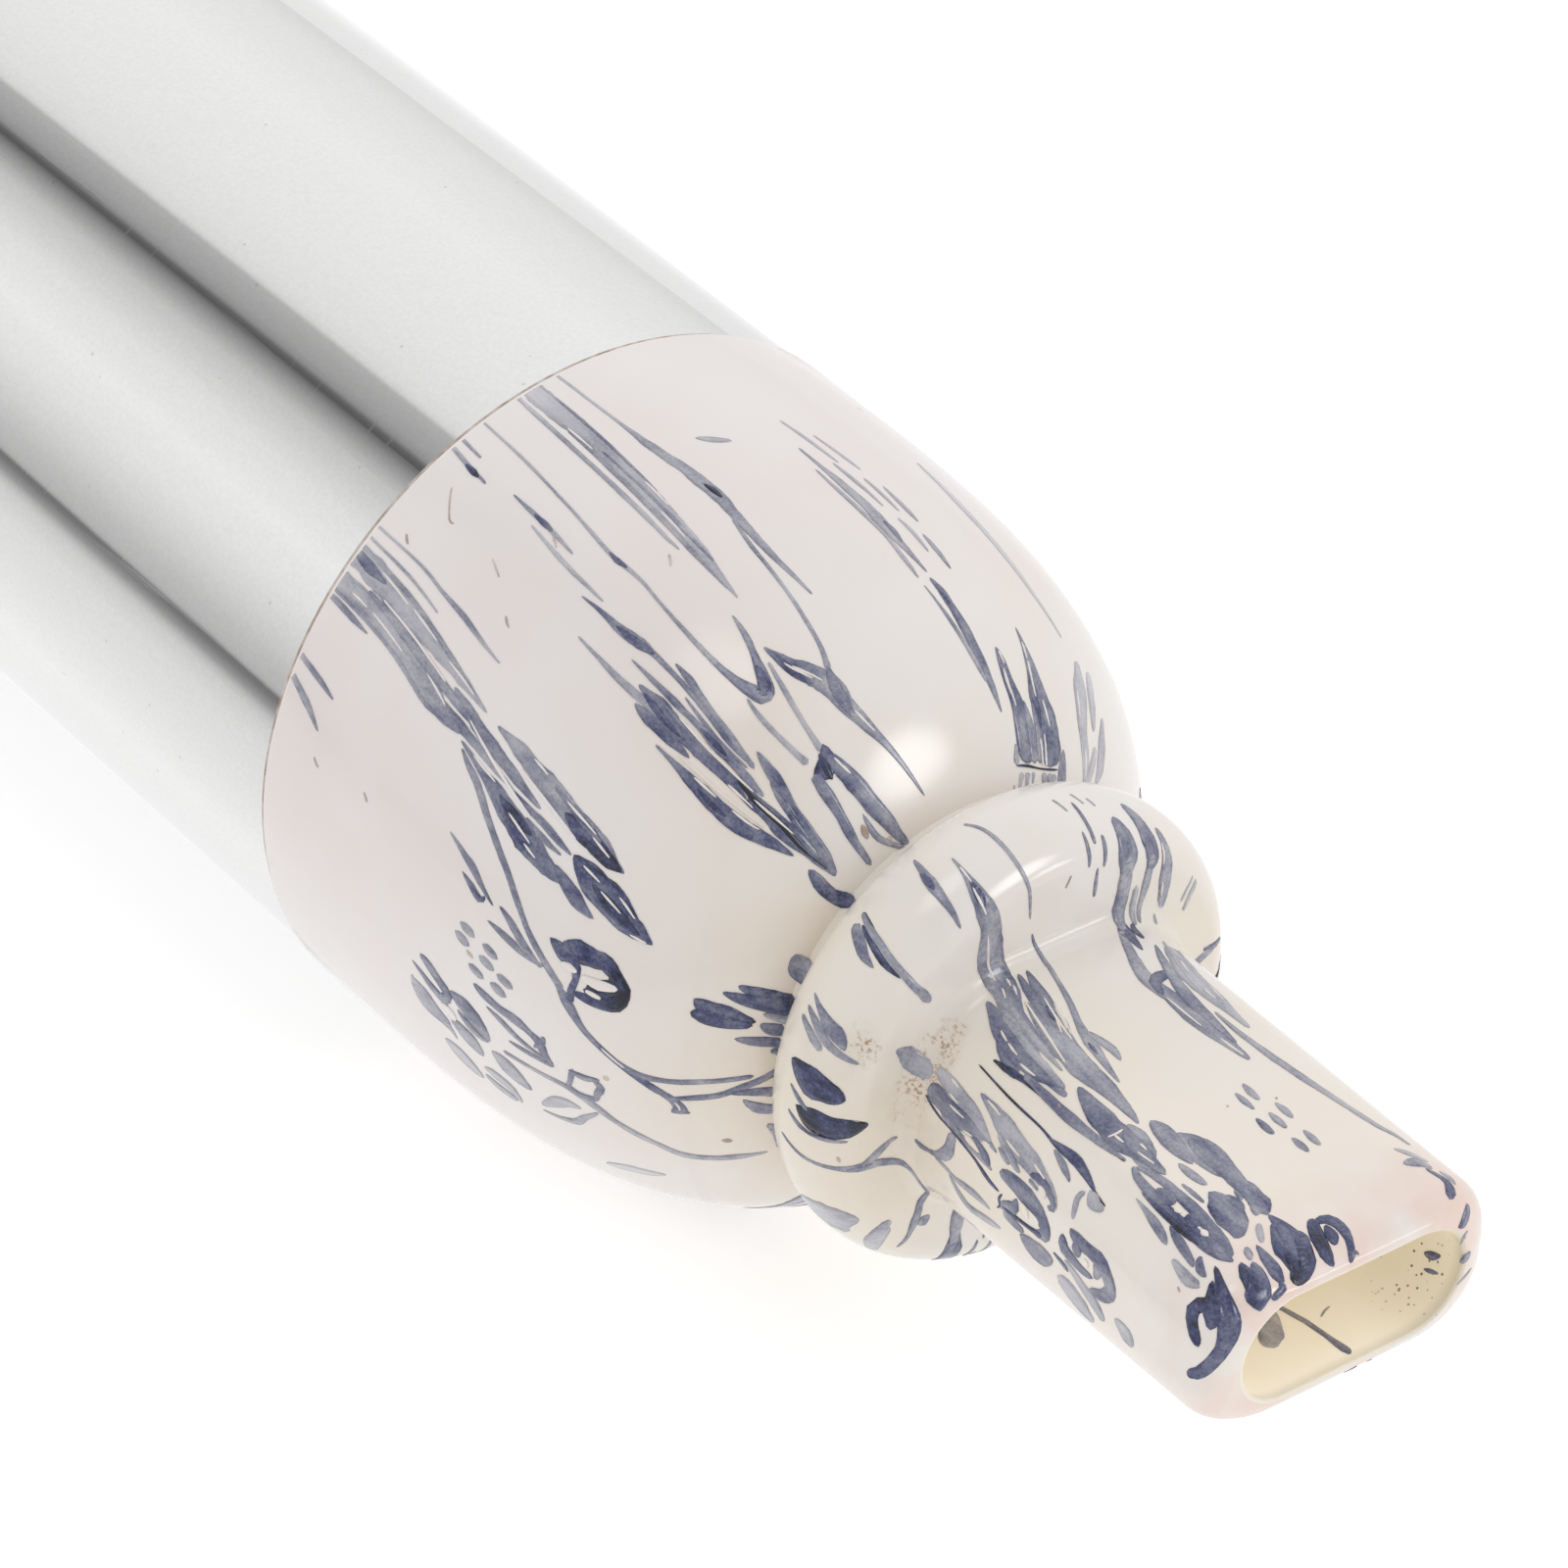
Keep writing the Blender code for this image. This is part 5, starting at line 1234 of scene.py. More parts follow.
BEAK_BLOSSOMS = (
    (.85, (48.4, 139.4, .04), (49.6, 139.9, .12), (50.8, 140.1, .13), (51.8, 139.8, .05)),
    (.5, (45.9, 116.2, .1), (46.4, 115.8, .4), (47.1, 116, .42), (47.8, 117, .3), (48.5, 116.8, .08)),
    (.4, (46.9, 112.4, .16), (47.3, 111.4, .5), (47.9, 110.2, .64), (48.6, 109.4, .66), (49.3, 109.2, .48),
     (49.8, 109, .12)),
    (.54, (47.6, 105.6, .08), (48.3, 104.9, .2), (49, 105.4, .2), (49.5, 106.4, .06)),
    (.52, (50.1, 106.5, .14), (50.5, 107, .36), (51, 107.8, .42), (51.5, 108.8, .46), (52, 110, .12)),
    (.5, (50.3, 110.5, .12), (50.6, 112, .18), (50.9, 113.6, .06)),
    (.5, (51.2, 110.8, .14), (51.6, 112.3, .18), (51.8, 113.8, .06)),
    (.4, (48.2, 121, .08), (48.8, 120.6, .22), (49.4, 119.8, .18), (49.6, 118.8, .04)),
    (.4, (49.1, 126.6, .05), (49.7, 126.2, .12), (50.3, 125.8, .06)),
    (.54, (49.95, 121, .14), (50.4, 120.5, .56), (51, 121.5, .7), (51.6, 122.8, .68), (52.1, 125.5, .34),
     (52.3, 127.8, .08)),
    (.52, (50.4, 116.6, .14), (51, 115.8, .22), (51.4, 116.6, .08)),
    (.54, (47.4, 134, .06), (48.2, 131.6, .16), (49, 130.9, .2), (50, 130.8, .26), (51, 131.2, .28),
     (52, 132.4, .3), (53, 134.6, .12)),
    (.54, (47.3, 134.6, .08), (47.8, 136.5, .18), (48.6, 137.6, .22), (49.6, 138.2, .24),
     (50.8, 138.3, .26), (51.8, 137.9, .28), (52.7, 136.8, .22), (53.2, 135.4, .06)),
    (.54, (48.7, 134.8, .1), (49.2, 134.6, .34), (49.7, 134.6, .28)),
    (.54, (50.4, 134.6, .24), (50.8, 134.7, .32), (51.1, 134.8, .24)),
    (.56, (51.8, 135, .24), (52.2, 135.1, .34), (52.7, 135.3, .2)),
    (.4, (48.4, 142.3, .03), (49.2, 143.4, .12), (49.8, 144.5, .2), (50.4, 146, .18), (50.8, 147.3, .04)),
    (.5, (50.3, 141.6, .04), (50.8, 142.8, .18), (51.4, 144.5, .2), (52, 145.9, .16), (52.3, 147, .04)),
    (.5, (52.2, 142.2, .04), (52.3, 144, .14), (52.6, 145.8, .18), (53, 146.6, .06)),
    (.26, (51.4, 150.2, .04), (52, 151.3, .15), (52.6, 152.4, .13), (53.1, 150.6, .05)),
)
BEAK_SIDE = (
    (.28, (34.7, 154.6, .06), (35.4, 154.9, .28), (36, 155.6, .42), (36.8, 157.5, .5), (37.3, 160, .34)),
    (.56, (37.4, 163.2, .38), (37.9, 163.4, .43), (39, 164.2, .48), (40, 163.8, .38), (40.65, 163.4, .25),
     (41.3, 163, .12), (41.8, 164.2, .04)),
    (.24, (37.5, 155.1, .2), (38.2, 155.8, .34), (38.9, 156.8, .36), (39.9, 158, .32), (40.65, 160, .2),
     (41.35, 162.3, .06)),
    (.55, (38.4, 167.6, .1), (39, 168.2, .2), (39.8, 169.7, .12), (40.65, 170.8, .14), (41.4, 171.4, .12),
     (41.75, 172, .05)),
    (.72, (40.1, 165.5, .06), (40.9, 167.2, .14), (41.3, 169.3, .22), (41.6, 171.4, .08)),
    (.28, (39.9, 151.1, .06), (40.8, 152.4, .25), (41.5, 154.3, .45), (42.3, 155.8, .5), (43.2, 157.3, .45),
     (43.9, 158.9, .4), (44.7, 160.4, .3), (45.3, 162.7, .18), (45.55, 165.7, .06)),
    (.42, (41.5, 157.4, .08), (42, 159.4, .18), (42.6, 161.7, .2), (43.05, 163.4, .12),
     (43.25, 163.8, .04)),
    (.52, (41.8, 161.8, .04), (42.2, 163, .12), (42.6, 164.4, .04)),
    (.68, (43.75, 161.5, .08), (44.2, 160.2, .2), (44.8, 160.9, .22), (45.3, 163.2, .18),
     (45.4, 165.6, .14), (45.1, 166.5, .1)),
    (.6, (43.8, 163.2, .08), (44.4, 164.2, .06)),
    (.95, (37.35, 166.2, .03), (37.8, 168.2, .07), (38.4, 169.9, .06), (39.1, 170.6, .05),
     (39.9, 172.1, .07), (40.65, 173.6, .08), (41.3, 175.9, .12), (41.8, 177.4, .1), (42.3, 178, .04)),
    (.34, (39.35, 171.6, .2), (39.2, 174.6, .28), (39.1, 179.7, .33), (38.85, 183.2, .3), (38.4, 186, .14),
     (37.9, 187.3, .1)),
    (.52, (38.4, 186.8, .06), (37.9, 187.4, .1), (37.4, 188.2, .13), (37.1, 187, .05)),
    (.32, (38.3, 187.2, .06), (39, 187.8, .09), (39.6, 188.7, .1), (40.3, 188.2, .16), (41, 187.8, .16),
     (41.9, 188.4, .05)),
    (.26, (39.3, 189.4, .05), (39.9, 193.1, .15), (40.6, 196.2, .18), (41.5, 194.7, .18),
     (42.2, 193.4, .14), (42.6, 192.6, .05)),
    (.55, (42.2, 169.8, .22), (42.8, 169.4, .35), (43.6, 169.8, .42), (44.4, 170.6, .42), (45, 172.9, .36),
     (45.2, 176.7, .36), (45.1, 179.3, .3), (44.7, 180.5, .12)),
    (.5, (43.35, 174.2, .08), (43.3, 178.2, .25), (43.05, 180.1, .3), (42.75, 181.2, .25),
     (42.4, 183.5, .12)),
    (.88, (42.5, 177.8, .04), (42.35, 180.6, .07), (42.45, 183.2, .06), (42.3, 185, .03)),
    (.95, (42.6, 182.5, .04), (43.2, 182.2, .08), (44, 181.6, .08), (44.6, 180.9, .12), (44.9, 180.4, .16),
     (45.05, 180, .05)),
    (.42, (42.7, 184.2, .16), (43.3, 184.8, .22), (44, 185.2, .14)),
    (.36, (43.8, 187.2, .15), (44.4, 188, .4), (45, 187.6, .46), (45.5, 187, .36), (45.85, 185.8, .12)),
    (.52, (46.55, 166.8, .06), (46.95, 168.7, .28), (47.85, 168.9, .28), (48.5, 169.1, .36),
     (49, 172.1, .36), (49.25, 175.9, .36), (49.15, 179.7, .36), (48.7, 182.3, .26), (48.1, 183.5, .08)),
    (.5, (46.2, 171.4, .1), (46.3, 174.4, .25), (46.45, 176.7, .3), (47, 177.8, .25), (47.5, 178.9, .2),
     (48.2, 178.4, .1)),
    (.5, (47.1, 169.8, .2), (47.1, 172.4, .3), (47.25, 175.2, .16)),
    (.48, (48.35, 170.8, .28), (48.4, 174.2, .24), (48.3, 177.6, .14)),
    (.8, (45.8, 182.3, .04), (46.4, 183.4, .1), (46.8, 184.7, .04)),
    (.2, (46.5, 181.2, .1), (47.2, 183.5, .2), (47.85, 185.8, .22), (48.6, 188.8, .3), (49.1, 192.2, .2)),
    (.1, (46.2, 190.3, .3), (47.1, 193.3, .5), (47.9, 196.4, .5), (48.4, 196.9, .2)),
    (.14, (49.7, 186.5, .1), (50.4, 188.8, .4), (50.8, 192.6, .2)),
)
BEAK_LIPS = (
    (.74, (52, 109.6, .05), (52.5, 109.4, .25), (53.2, 109.4, .46), (53.9, 111, .56), (54.4, 114, .56),
     (54.8, 118, .48), (55.1, 122, .36), (55.4, 126.4, .1)),
    (.92, (53.4, 108.6, .05), (54, 110.6, .2), (54.6, 114.8, .2), (54.9, 119, .06)),
    (.7, (53.2, 105.8, .08), (53.6, 106.4, .26), (54, 108, .26)),
    (.3, (52.2, 115.2, .06), (52.4, 117, .14), (52.8, 119.4, .14), (53, 120.8, .04)),
    (.66, (53, 123.2, .06), (53.6, 124, .22), (54.2, 125.8, .28), (54.6, 128, .22), (55, 130, .08)),
    (.5, (52.9, 126.8, .08), (53.2, 128.4, .16), (53.5, 130, .05)),
    (.68, (53.6, 129.8, .06), (54, 131.6, .24), (54.4, 135, .34), (54.7, 138.5, .4), (55, 142.5, .36),
     (55.35, 147, .08)),
    (.62, (54.9, 129.6, .08), (55.2, 132, .14), (55.3, 136, .14), (55.4, 140, .08)),
    (.72, (52.9, 141.5, .06), (53.8, 146, .22), (54.4, 151, .34), (54.9, 158, .36), (55, 168, .3),
     (54.6, 178, .28), (54.2, 182, .24), (54.1, 184, .06)),
    (.8, (54, 148.5, .1), (53.8, 153, .24), (53.4, 157, .3), (53.6, 162, .3), (54, 166, .26),
     (54.25, 169, .08)),
    (.4, (51.4, 149.6, .1), (52.2, 150.8, .2), (53, 150.2, .1)),
    (.8, (53, 97, .1), (53.3, 99, .28), (54, 102, .3), (54.8, 105, .26), (55.3, 105.5, .08)),
    (.72, (53.2, 97.5, .1), (53.3, 92.8, .26), (53.8, 91, .26), (54.5, 92, .2), (55.2, 95, .16),
     (55.5, 97, .06)),
    (.62, (55.3, 91.5, .04), (55.1, 93, .1), (55.4, 95.5, .04)),
    (.35, (52.5, 50, .06), (52.6, 46, .25), (52.95, 42.5, .15), (53.2, 41.6, .06)),
    (.62, (53.1, 44, .06), (53.5, 42.4, .1), (54, 40.6, .16), (54.5, 40.8, .28), (54.75, 41.8, .12)),
    (.1, (51.7, 48, .05), (52.2, 44, .12), (52.8, 40, .05)),
    (.25, (53.4, 39.5, .04), (53.8, 38, .12), (54.2, 37, .04)),
    (.55, (54.9, 31, .05), (55.2, 29, .2), (55.6, 26.5, .18), (55.7, 26, .06)),
    (.3, (55.95, 17, .03), (55.8, 19, .05), (55.6, 20.5, .03)),
    (.25, (56.05, 15, .03), (55.9, 17, .04), (55.75, 18, .03)),
    (.62, (56.15, 2, .08), (56, 3, .2), (55.75, 6, .1)),
    (.35, (55.5, -6, .03), (55.7, -9, .08), (55.95, -13, .03)),
    (.76, (52.4, 110.6, .2), (53.2, 112.4, .46), (54, 115.6, .54), (54.6, 118.8, .4), (55, 122, .1)),
    (.74, (53.4, 133.6, .08), (54, 136, .3), (54.6, 139, .36), (55.1, 143.4, .1)),
    (.76, (53.5, 95, .1), (54, 96.4, .26), (54.5, 98.6, .1)),
    (.74, (53.3, 146, .1), (53.8, 151, .28), (54.2, 156, .34), (54.4, 161, .1)),
)
BEAK_FAR = (
    (.42, (36.9, 63.3, .1), (37.8, 66.8, .2), (38.7, 69.6, .25), (39.8, 71.7, .3), (41, 70.3, .35),
     (42.4, 68.9, .4), (43.8, 67.2, .3), (45, 65.4, .12), (45.2, 65, .04)),
    (.72, (36.7, 62.2, .1), (37.2, 62.6, .32), (37.7, 62.9, .2), (38.4, 63.4, .06)),
    (.68, (40, 61.2, .1), (39.9, 66.1, .28), (40.1, 70.6, .25), (40.8, 71.6, .14)),
    (.45, (38.25, 56.4, .05), (39.2, 59.9, .2), (40.1, 62.6, .25), (41.5, 64.7, .3), (42.9, 64.7, .2),
     (44.3, 64.4, .08)),
    (.14, (38.4, 50.4, .3), (39.2, 52.6, .5), (40.1, 55, .55), (41.3, 55.7, .5), (42.4, 55, .3),
     (43.8, 54.3, .1)),
    (.24, (38, 50, .06), (39.4, 55, .1), (40.8, 57.6, .12), (42, 58, .05)),
    (.2, (38.6, 47, .06), (40, 51.6, .1), (41.4, 53, .05)),
    (.3, (42.5, 60.8, .05), (43.8, 59.9, .12), (45.2, 57.8, .15), (46.6, 55, .17), (47.7, 52.2, .15),
     (49.1, 48.8, .14), (50.3, 45.3, .12), (51, 41.8, .1), (51.7, 39.7, .05)),
    (.38, (46.1, 75.3, .05), (46.6, 75.4, .17), (47.1, 75.2, .08)),
    (.36, (46.35, 80.6, .05), (46.85, 80.3, .17), (47.4, 79.8, .07)),
    (.38, (47.5, 71, .05), (48, 70.6, .17), (48.5, 70.4, .07)),
    (.38, (47.8, 76.3, .05), (48.3, 76, .17), (48.8, 75.8, .08)),
    (.44, (47.8, 82.2, .05), (48.3, 82, .18), (48.8, 81.6, .1)),
    (.38, (49.2, 71, .05), (49.7, 70.7, .17), (50.15, 70.4, .07)),
    (.38, (49.3, 77.2, .05), (49.75, 76.8, .18), (50.2, 76.4, .08)),
)
# The dome's strokes, which the pipes repeat, and all of the cap's in the order they are laid
DOME_PATTERN = (DOME_CREST, DOME_STEMS, DOME_FRONT, DOME_SWEEP, DOME_VINES, DOME_BLOSSOMS)
CAP_PATTERN = sum((*DOME_PATTERN, DOME_NECK, DOME_FAR, BEAD_RING, BEAK_LEFT, BEAK_BLOSSOMS, BEAK_SIDE,
                   BEAK_FAR, BEAK_LIPS), ())
# Station and angle in the passage of the middle of its black specks
SPECK_PLACE = (1.6, 342)
# Station, angle and reach in millimetres of the brown grime on the bead and in the crease by the beak
GRIME = ((32.9, 156, 1.1), (37.2, 141, 0.8), (37.2, 148, 1.1), (37.2, 156, 1.2), (37.0, 165, 1.2),
         (36.8, 176, 1.0))
MOUTH_MARKS = (
    (.62, (5.4, 271.6, .05), (4.5, 273, .1), (3.6, 275, .12), (2.7, 276.6, .12), (1.5, 277.2, .14),
     (.6, 277.4, .2), (.3, 276.4, .06)),
    (.3, (5.2, 270, .1), (4.4, 267.4, .3), (3.4, 259.4, .5), (2.8, 253.4, .5), (2.3, 250, .2)),
    (.55, (3.2, 256, .1), (2.8, 252, .3), (2.4, 249.6, .1)),
    (.35, (3.6, 240.4, .06), (3.1, 237.6, .2), (2.8, 234, .08)),
    (.35, (3.2, 233.4, .05), (2.8, 230.4, .12), (2.6, 228, .05)),
    (.3, (2.7, 285.2, .03), (2.9, 290, .05), (3, 294.4, .03)),
    (.6, (1, 355, .05), (1.4, 352, .2), (1.8, 350, .06)),
    (.5, (.8, 346, .04), (1.2, 344.4, .1), (1.5, 343.2, .04)),
)
# Turned copies of the printed strokes are kept between these angles, out of the photo's view, and between the
# second ones past that station
FAR_SIDE, FAR_LIPS, LIPS_START = (238, 388), (238, 305), 46
STAINS = (
    (.2, (5.6, 126.6, .02), (6, 127.2, .03), (6.5, 128, .02)),
    (.8, (8, 131.6, .03), (8.25, 132.2, .05), (8.5, 132.6, .03)),
    (.8, (1.5, 122.4, .02), (1.9, 124, .03), (2.6, 126.2, .03), (2.9, 126.2, .02)),
    (.8, (1.4, 131.6, .03), (1.6, 132.2, .05), (1.8, 132.6, .03)),
    (.8, (11.3, 109.6, .03), (11.6, 110.2, .05), (11.8, 110.8, .03)),
    (.8, (6.9, 118.6, .02), (7.3, 119.2, .04), (7.5, 119.6, .02)),
    (.8, (2.6, 166.6, .03), (2.8, 167.2, .05), (3, 167.6, .03)),
    (.8, (20.8, 128.6, .02), (21.1, 129.2, .04), (21.2, 129.6, .02)),
    (.8, (5.9, 165.6, .02), (6.1, 166.2, .04), (6.2, 166.6, .02)),
    (.3, (34.2, 86.6, .02), (34.4, 87.2, .04), (34.6, 88, .03)),
    (.6, (43, 135.8, .02), (43.1, 136.2, .04), (43.2, 136.4, .02)),
    (.8, (52.3, 155.6, .02), (52.4, 156.2, .04), (52.5, 156.6, .02)),
    (.45, (33, 186.6, .03), (33.05, 187.4, .07), (33.1, 188.2, .03)),
    (.6, (25.1, 117.4, .04), (25.4, 117.8, .14), (25.7, 118.4, .05)),
    (.5, (13.1, 177.2, .04), (13.3, 177.6, .1), (13.5, 177.9, .04)),
    (.9, (26.6, 74.8, .03), (27, 75, .06), (27.4, 75.2, .03)),
    (.5, (24.2, 205.2, .05), (24.4, 205.6, .14), (24.6, 206, .05)),
    (.4, (47.3, 69, .03), (47.4, 69.4, .07)),
    (.4, (46.7, 87, .03), (46.8, 87.4, .06)),
)
SEED_DASHES = (
    (13, 173.8), (12.8, 175.8), (13.7, 179.8), (14.3, 175), (14.2, 177.3), (15.2, 178.6), (14.9, 180.8),
)
IVORY_RESERVES = (
    (0, (18.6, 170.8, .1), (19.4, 171, .26), (20.2, 170.4, .12)),
    (0, (17.6, 170.2, .06), (18, 170.3, .2), (18.4, 170.4, .06)),
    (0, (18.9, 172.9, .07), (19.25, 173.1, .12), (19.6, 173.3, .07)),
    (0, (11.6, 190.6, .15), (12.1, 191.4, .3), (12.4, 192.4, .15)),
    (0, (43.6, 174.2, .06), (43.85, 175.6, .22), (44, 177, .18), (44.15, 178.2, .06)),
    (0, (47.6, 173.4, .08), (47.7, 174.8, .24), (47.8, 176.2, .1)),
    (0, (44.4, 162.2, .08), (44.7, 163.6, .16), (44.75, 165.2, .1)),
    (0, (39.95, 168, .1), (40.3, 168.2, .16), (40.9, 169.4, .06)),
    (0, (49.8, 135.2, .06), (50, 135.4, .14), (50.2, 135.4, .06)),
    (0, (51.3, 134.8, .06), (51.5, 135, .14), (51.7, 135, .06)),
    (0, (45.7, 127, .03), (45.7, 130, .05), (45.6, 133, .03)),
    (0, (38.6, 109.6, .03), (39.8, 112.4, .05), (41, 114.6, .03)),
    (0, (38.4, 116.4, .03), (40, 119.6, .06), (41.8, 123.4, .03)),
    (0, (2.5, 140.8, .03), (5, 142.2, .05), (7.5, 144.2, .03)),
    (0, (9.5, 146.2, .03), (12, 149.6, .07), (14.2, 152.2, .03)),
    (0, (12.8, 147.2, .03), (14.8, 149.2, .06), (16.4, 151, .03)),
    (0, (24.6, 64.2, .03), (25.9, 63.6, .05)),
    (0, (24.8, 65.6, .03), (25.9, 64.8, .05)),
    (0, (17, 126.8, .03), (19, 127.6, .05), (21.2, 127.9, .03)),
    (0, (18, 131.2, .03), (20, 131.6, .05), (22.4, 131.4, .03)),
)


# Operators

class BAWU_OT_cap(Operator):
    """Mould the mouthpiece cap: dome, bead, beak, slot and corked spigot in one hollow piece"""
    bl_idname = "bawu.cap"
    bl_label = "Mouthpiece cap"

    def execute(self, context):
        sizes, _ = settings(context)
        cap = lofted("mouthpiece_cap_moulding", [cap_outside(sizes), cap_inside(sizes) + cap_spigot(sizes)],
                     sizes.sides)
        materials = [finished("ivory", context), finished("passage", context)]
        place_piece(cap, "cap", "ivory_plastic", materials, "mouthpiece_cap")
        return {"FINISHED"}


class BAWU_OT_cap_print(Operator):
    """Print the cap's blue brush strokes, vines and blossoms"""
    bl_idname = "bawu.cap_print"
    bl_label = "Cap pattern"

    def execute(self, context):
        sizes, _ = settings(context)
        skin = printed_skin(sizes)

        def lay(name, made, finish_key):
            place_piece(made.closed(name), "cap", "ivory_plastic", [finished(finish_key, context)])

        ink = Print(skin, 3)
        ink.strokes(CAP_PATTERN)
        for station, angle in SEED_DASHES:
            ink.seed(station, angle)
        lay("cap_print", ink, "ink")
        bare = Print(skin, 5)
        bare.lowest += Print.rise * Print.levels
        bare.strokes(IVORY_RESERVES)
        for _, *points in CAP_PATTERN:
            bare.slivers(points)
        lay("cap_print_reserves", bare, "ivory")
        behind = Print(skin, 9)
        for tone, *points in CAP_PATTERN:
            opposite = [(s, a + 180, half) for s, a, half in points]
            low, high = FAR_LIPS if opposite[-1][0] > LIPS_START else FAR_SIDE
            if all(low < a < high for _, a, _ in opposite):
                behind.stroke(opposite, tone)
        lay("cap_print_behind", behind, "ink")
        passage = Print(Skin(passage_sections(sizes), -1), 13)
        passage.strokes(MOUTH_MARKS)
        lay("mouth_marks", passage, "ink")
        residue = Print(skin, 7)
        residue.strokes(STAINS)
        lay("cap_residue", residue, "stain")
        return {"FINISHED"}


# The brown ring at the joint: how far it starts before it, its depth and how proud it stands, and its width
# in joint gaps
RESIDUE_START, RESIDUE_DEPTH, RESIDUE_PROUD, RESIDUE_GAPS = 0.00004, 0.0006, 0.00001, 1.6
# The collar's wall as a share of its length, the walls under the ferrule and the foot's rim, and the play of
# the foot's spigot
COLLAR_WALL, FERRULE_WALL, SPIGOT_PLAY, RIM_WALL = 0.16, 0.0017, 0.0003, 0.0009


class BAWU_OT_head(Operator):
    """Turn the head: polished sleeve, wind chamber with its bottle shoulder, and socket collar"""
    bl_idname = "bawu.head"
    bl_label = "Head"

    def execute(self, context):
        sizes, _ = settings(context)
        nickel, ivory = finished("nickel", context), finished("ivory", context)
        outer, bore, edge = sizes.sleeve_radius, sizes.sleeve_radius - sizes.sleeve_wall, sizes.edge
        tube = rounded([(0, bore), (0, outer), (SLEEVE_END, outer), (SLEEVE_END, bore)], edge * 0.1, (1, 2))
        sleeve = turned("polished_sleeve", tube, sizes.sides)
        place_piece(sleeve, "head", "nickel_silver", [nickel], "head_sleeve")
        start, end = -RESIDUE_START, sizes.gap * RESIDUE_GAPS
        seam = [(start, outer - RESIDUE_DEPTH), (start, outer + RESIDUE_PROUD), (end, outer + RESIDUE_PROUD),
                (end, outer - RESIDUE_DEPTH)]
        residue = turned("joint_residue", seam, sizes.sides)
        place_piece(residue, "head", "nickel_silver", [finished("stain", context)])
        rim_top, neck_end = SLEEVE_END - sizes.gap, COLLAR_TOP + sizes.gap
        floor = COLLAR_END + sizes.tenon_length
        collar_bore = sizes.shoulder_foot - (COLLAR_TOP - COLLAR_END) * COLLAR_WALL
        shoulder = [(0, sizes.chamber_bore), (0, sizes.chamber_radius), (rim_top, sizes.chamber_radius)]
        shoulder += arc_points((rim_top - edge, sizes.dome_radius - edge), edge, edge, 0, 90, 4)
        shoulder += easing((rim_top - sizes.shoulder_rim, sizes.dome_radius), (neck_end, sizes.shoulder_foot))
        shoulder += [(neck_end, collar_bore), (COLLAR_END, collar_bore), (COLLAR_END, sizes.socket_radius),
                     (floor, sizes.socket_radius), (floor, sizes.tube_hole),
                     (-sizes.chamber_depth, sizes.tube_hole), (-sizes.chamber_depth, sizes.chamber_bore)]
        bottle = turned("bottle_shoulder", shoulder, sizes.sides)
        place_piece(bottle, "head", "ivory_plastic", [ivory], "wind_chamber")
        seat = collar_bore + sizes.gap
        collar = metal_ring("collar_ring", sizes, COLLAR_TOP, COLLAR_END, seat, COLLAR_RADIUS)
        place_piece(collar, "head_ring", "nickel_silver", [nickel], "socket_collar")
        return {"FINISHED"}


def metal_ring(name, sizes, top, end, bore, radius):
    outline = rounded([(top, bore), (top, radius), (end, radius), (end, bore)], sizes.edge, (1, 2))
    return turned(name, outline, sizes.sides)


def end_bead(sizes, start, way):
    """A turned bead at a pipe's end; way is -1 where the pipe runs on towards the foot."""
    width, height = sizes.bead_ring_length, sizes.bead_ring
    top = sizes.body_radius + height
    points = arc_points((start + way * sizes.edge, top - sizes.edge), -way * sizes.edge, sizes.edge, 0, 90, 4)
    fall = width - sizes.edge * 1.2
    return points + [(start + way * fall, top), (start + way * width, sizes.body_radius)]


class BAWU_OT_pipes(Operator):
    """Turn and drill the upper and lower pipe, and the ferrule between them"""
    bl_idname = "bawu.pipes"
    bl_label = "Pipes"

    def execute(self, context):
        sizes, _ = settings(context)
        ivory, nickel = finished("ivory", context), finished("nickel", context)
        body, low = sizes.body_radius, sizes.tenon_radius - sizes.cork_groove
        top, end = upper_ends(sizes)
        long, lip, bevel = sizes.tenon_length, sizes.tenon_lip, sizes.edge

        def tenon(root, way):
            tip, high = root + way * long, sizes.tenon_radius
            return [(root, high), (root + way * lip, high), (root + way * lip, low), (tip - way * lip, low),
                    (tip - way * lip, high), (tip - way * bevel, high), (tip, high - bevel),
                    (tip, sizes.bore_radius)]

        outline = tenon(top, 1)[::-1] + end_bead(sizes, top, -1)
        outline += end_bead(sizes, end, 1)[::-1] + tenon(end, -1)
        upper = turned("upper_pipe", outline, sizes.sides)
        drill(upper, upper_holes(sizes), body, sizes.hole_edge)
        place_piece(upper, "upper_body", "ivory_plastic", [ivory], "upper_body")

        top, end = lower_ends(sizes)
        seat, seat_end = sizes.socket_radius + FERRULE_WALL, RING_END - sizes.gap
        spigot, spigot_end = sizes.socket_radius - SPIGOT_PLAY, end - sizes.foot_socket
        outline = [(top, sizes.socket_radius), (top, seat), (seat_end, seat),
                   (seat_end, body), (end, body), (end, spigot), (spigot_end + bevel, spigot),
                   (spigot_end, spigot - bevel), (spigot_end, sizes.bore_radius),
                   (top - long, sizes.bore_radius), (top - long, sizes.socket_radius)]
        lower = turned("lower_pipe", rounded(outline, bevel * 0.5, (3, 4)), sizes.sides)
        drill(lower, lower_holes(sizes), body, sizes.hole_edge)
        place_piece(lower, "foot", "ivory_plastic", [ivory], "lower_body")
        ring = metal_ring("pipe_ferrule", sizes, top, RING_END, seat + sizes.gap, RING_RADIUS)
        place_piece(ring, "foot_ring", "nickel_silver", [nickel], "middle_ferrule")
        return {"FINISHED"}


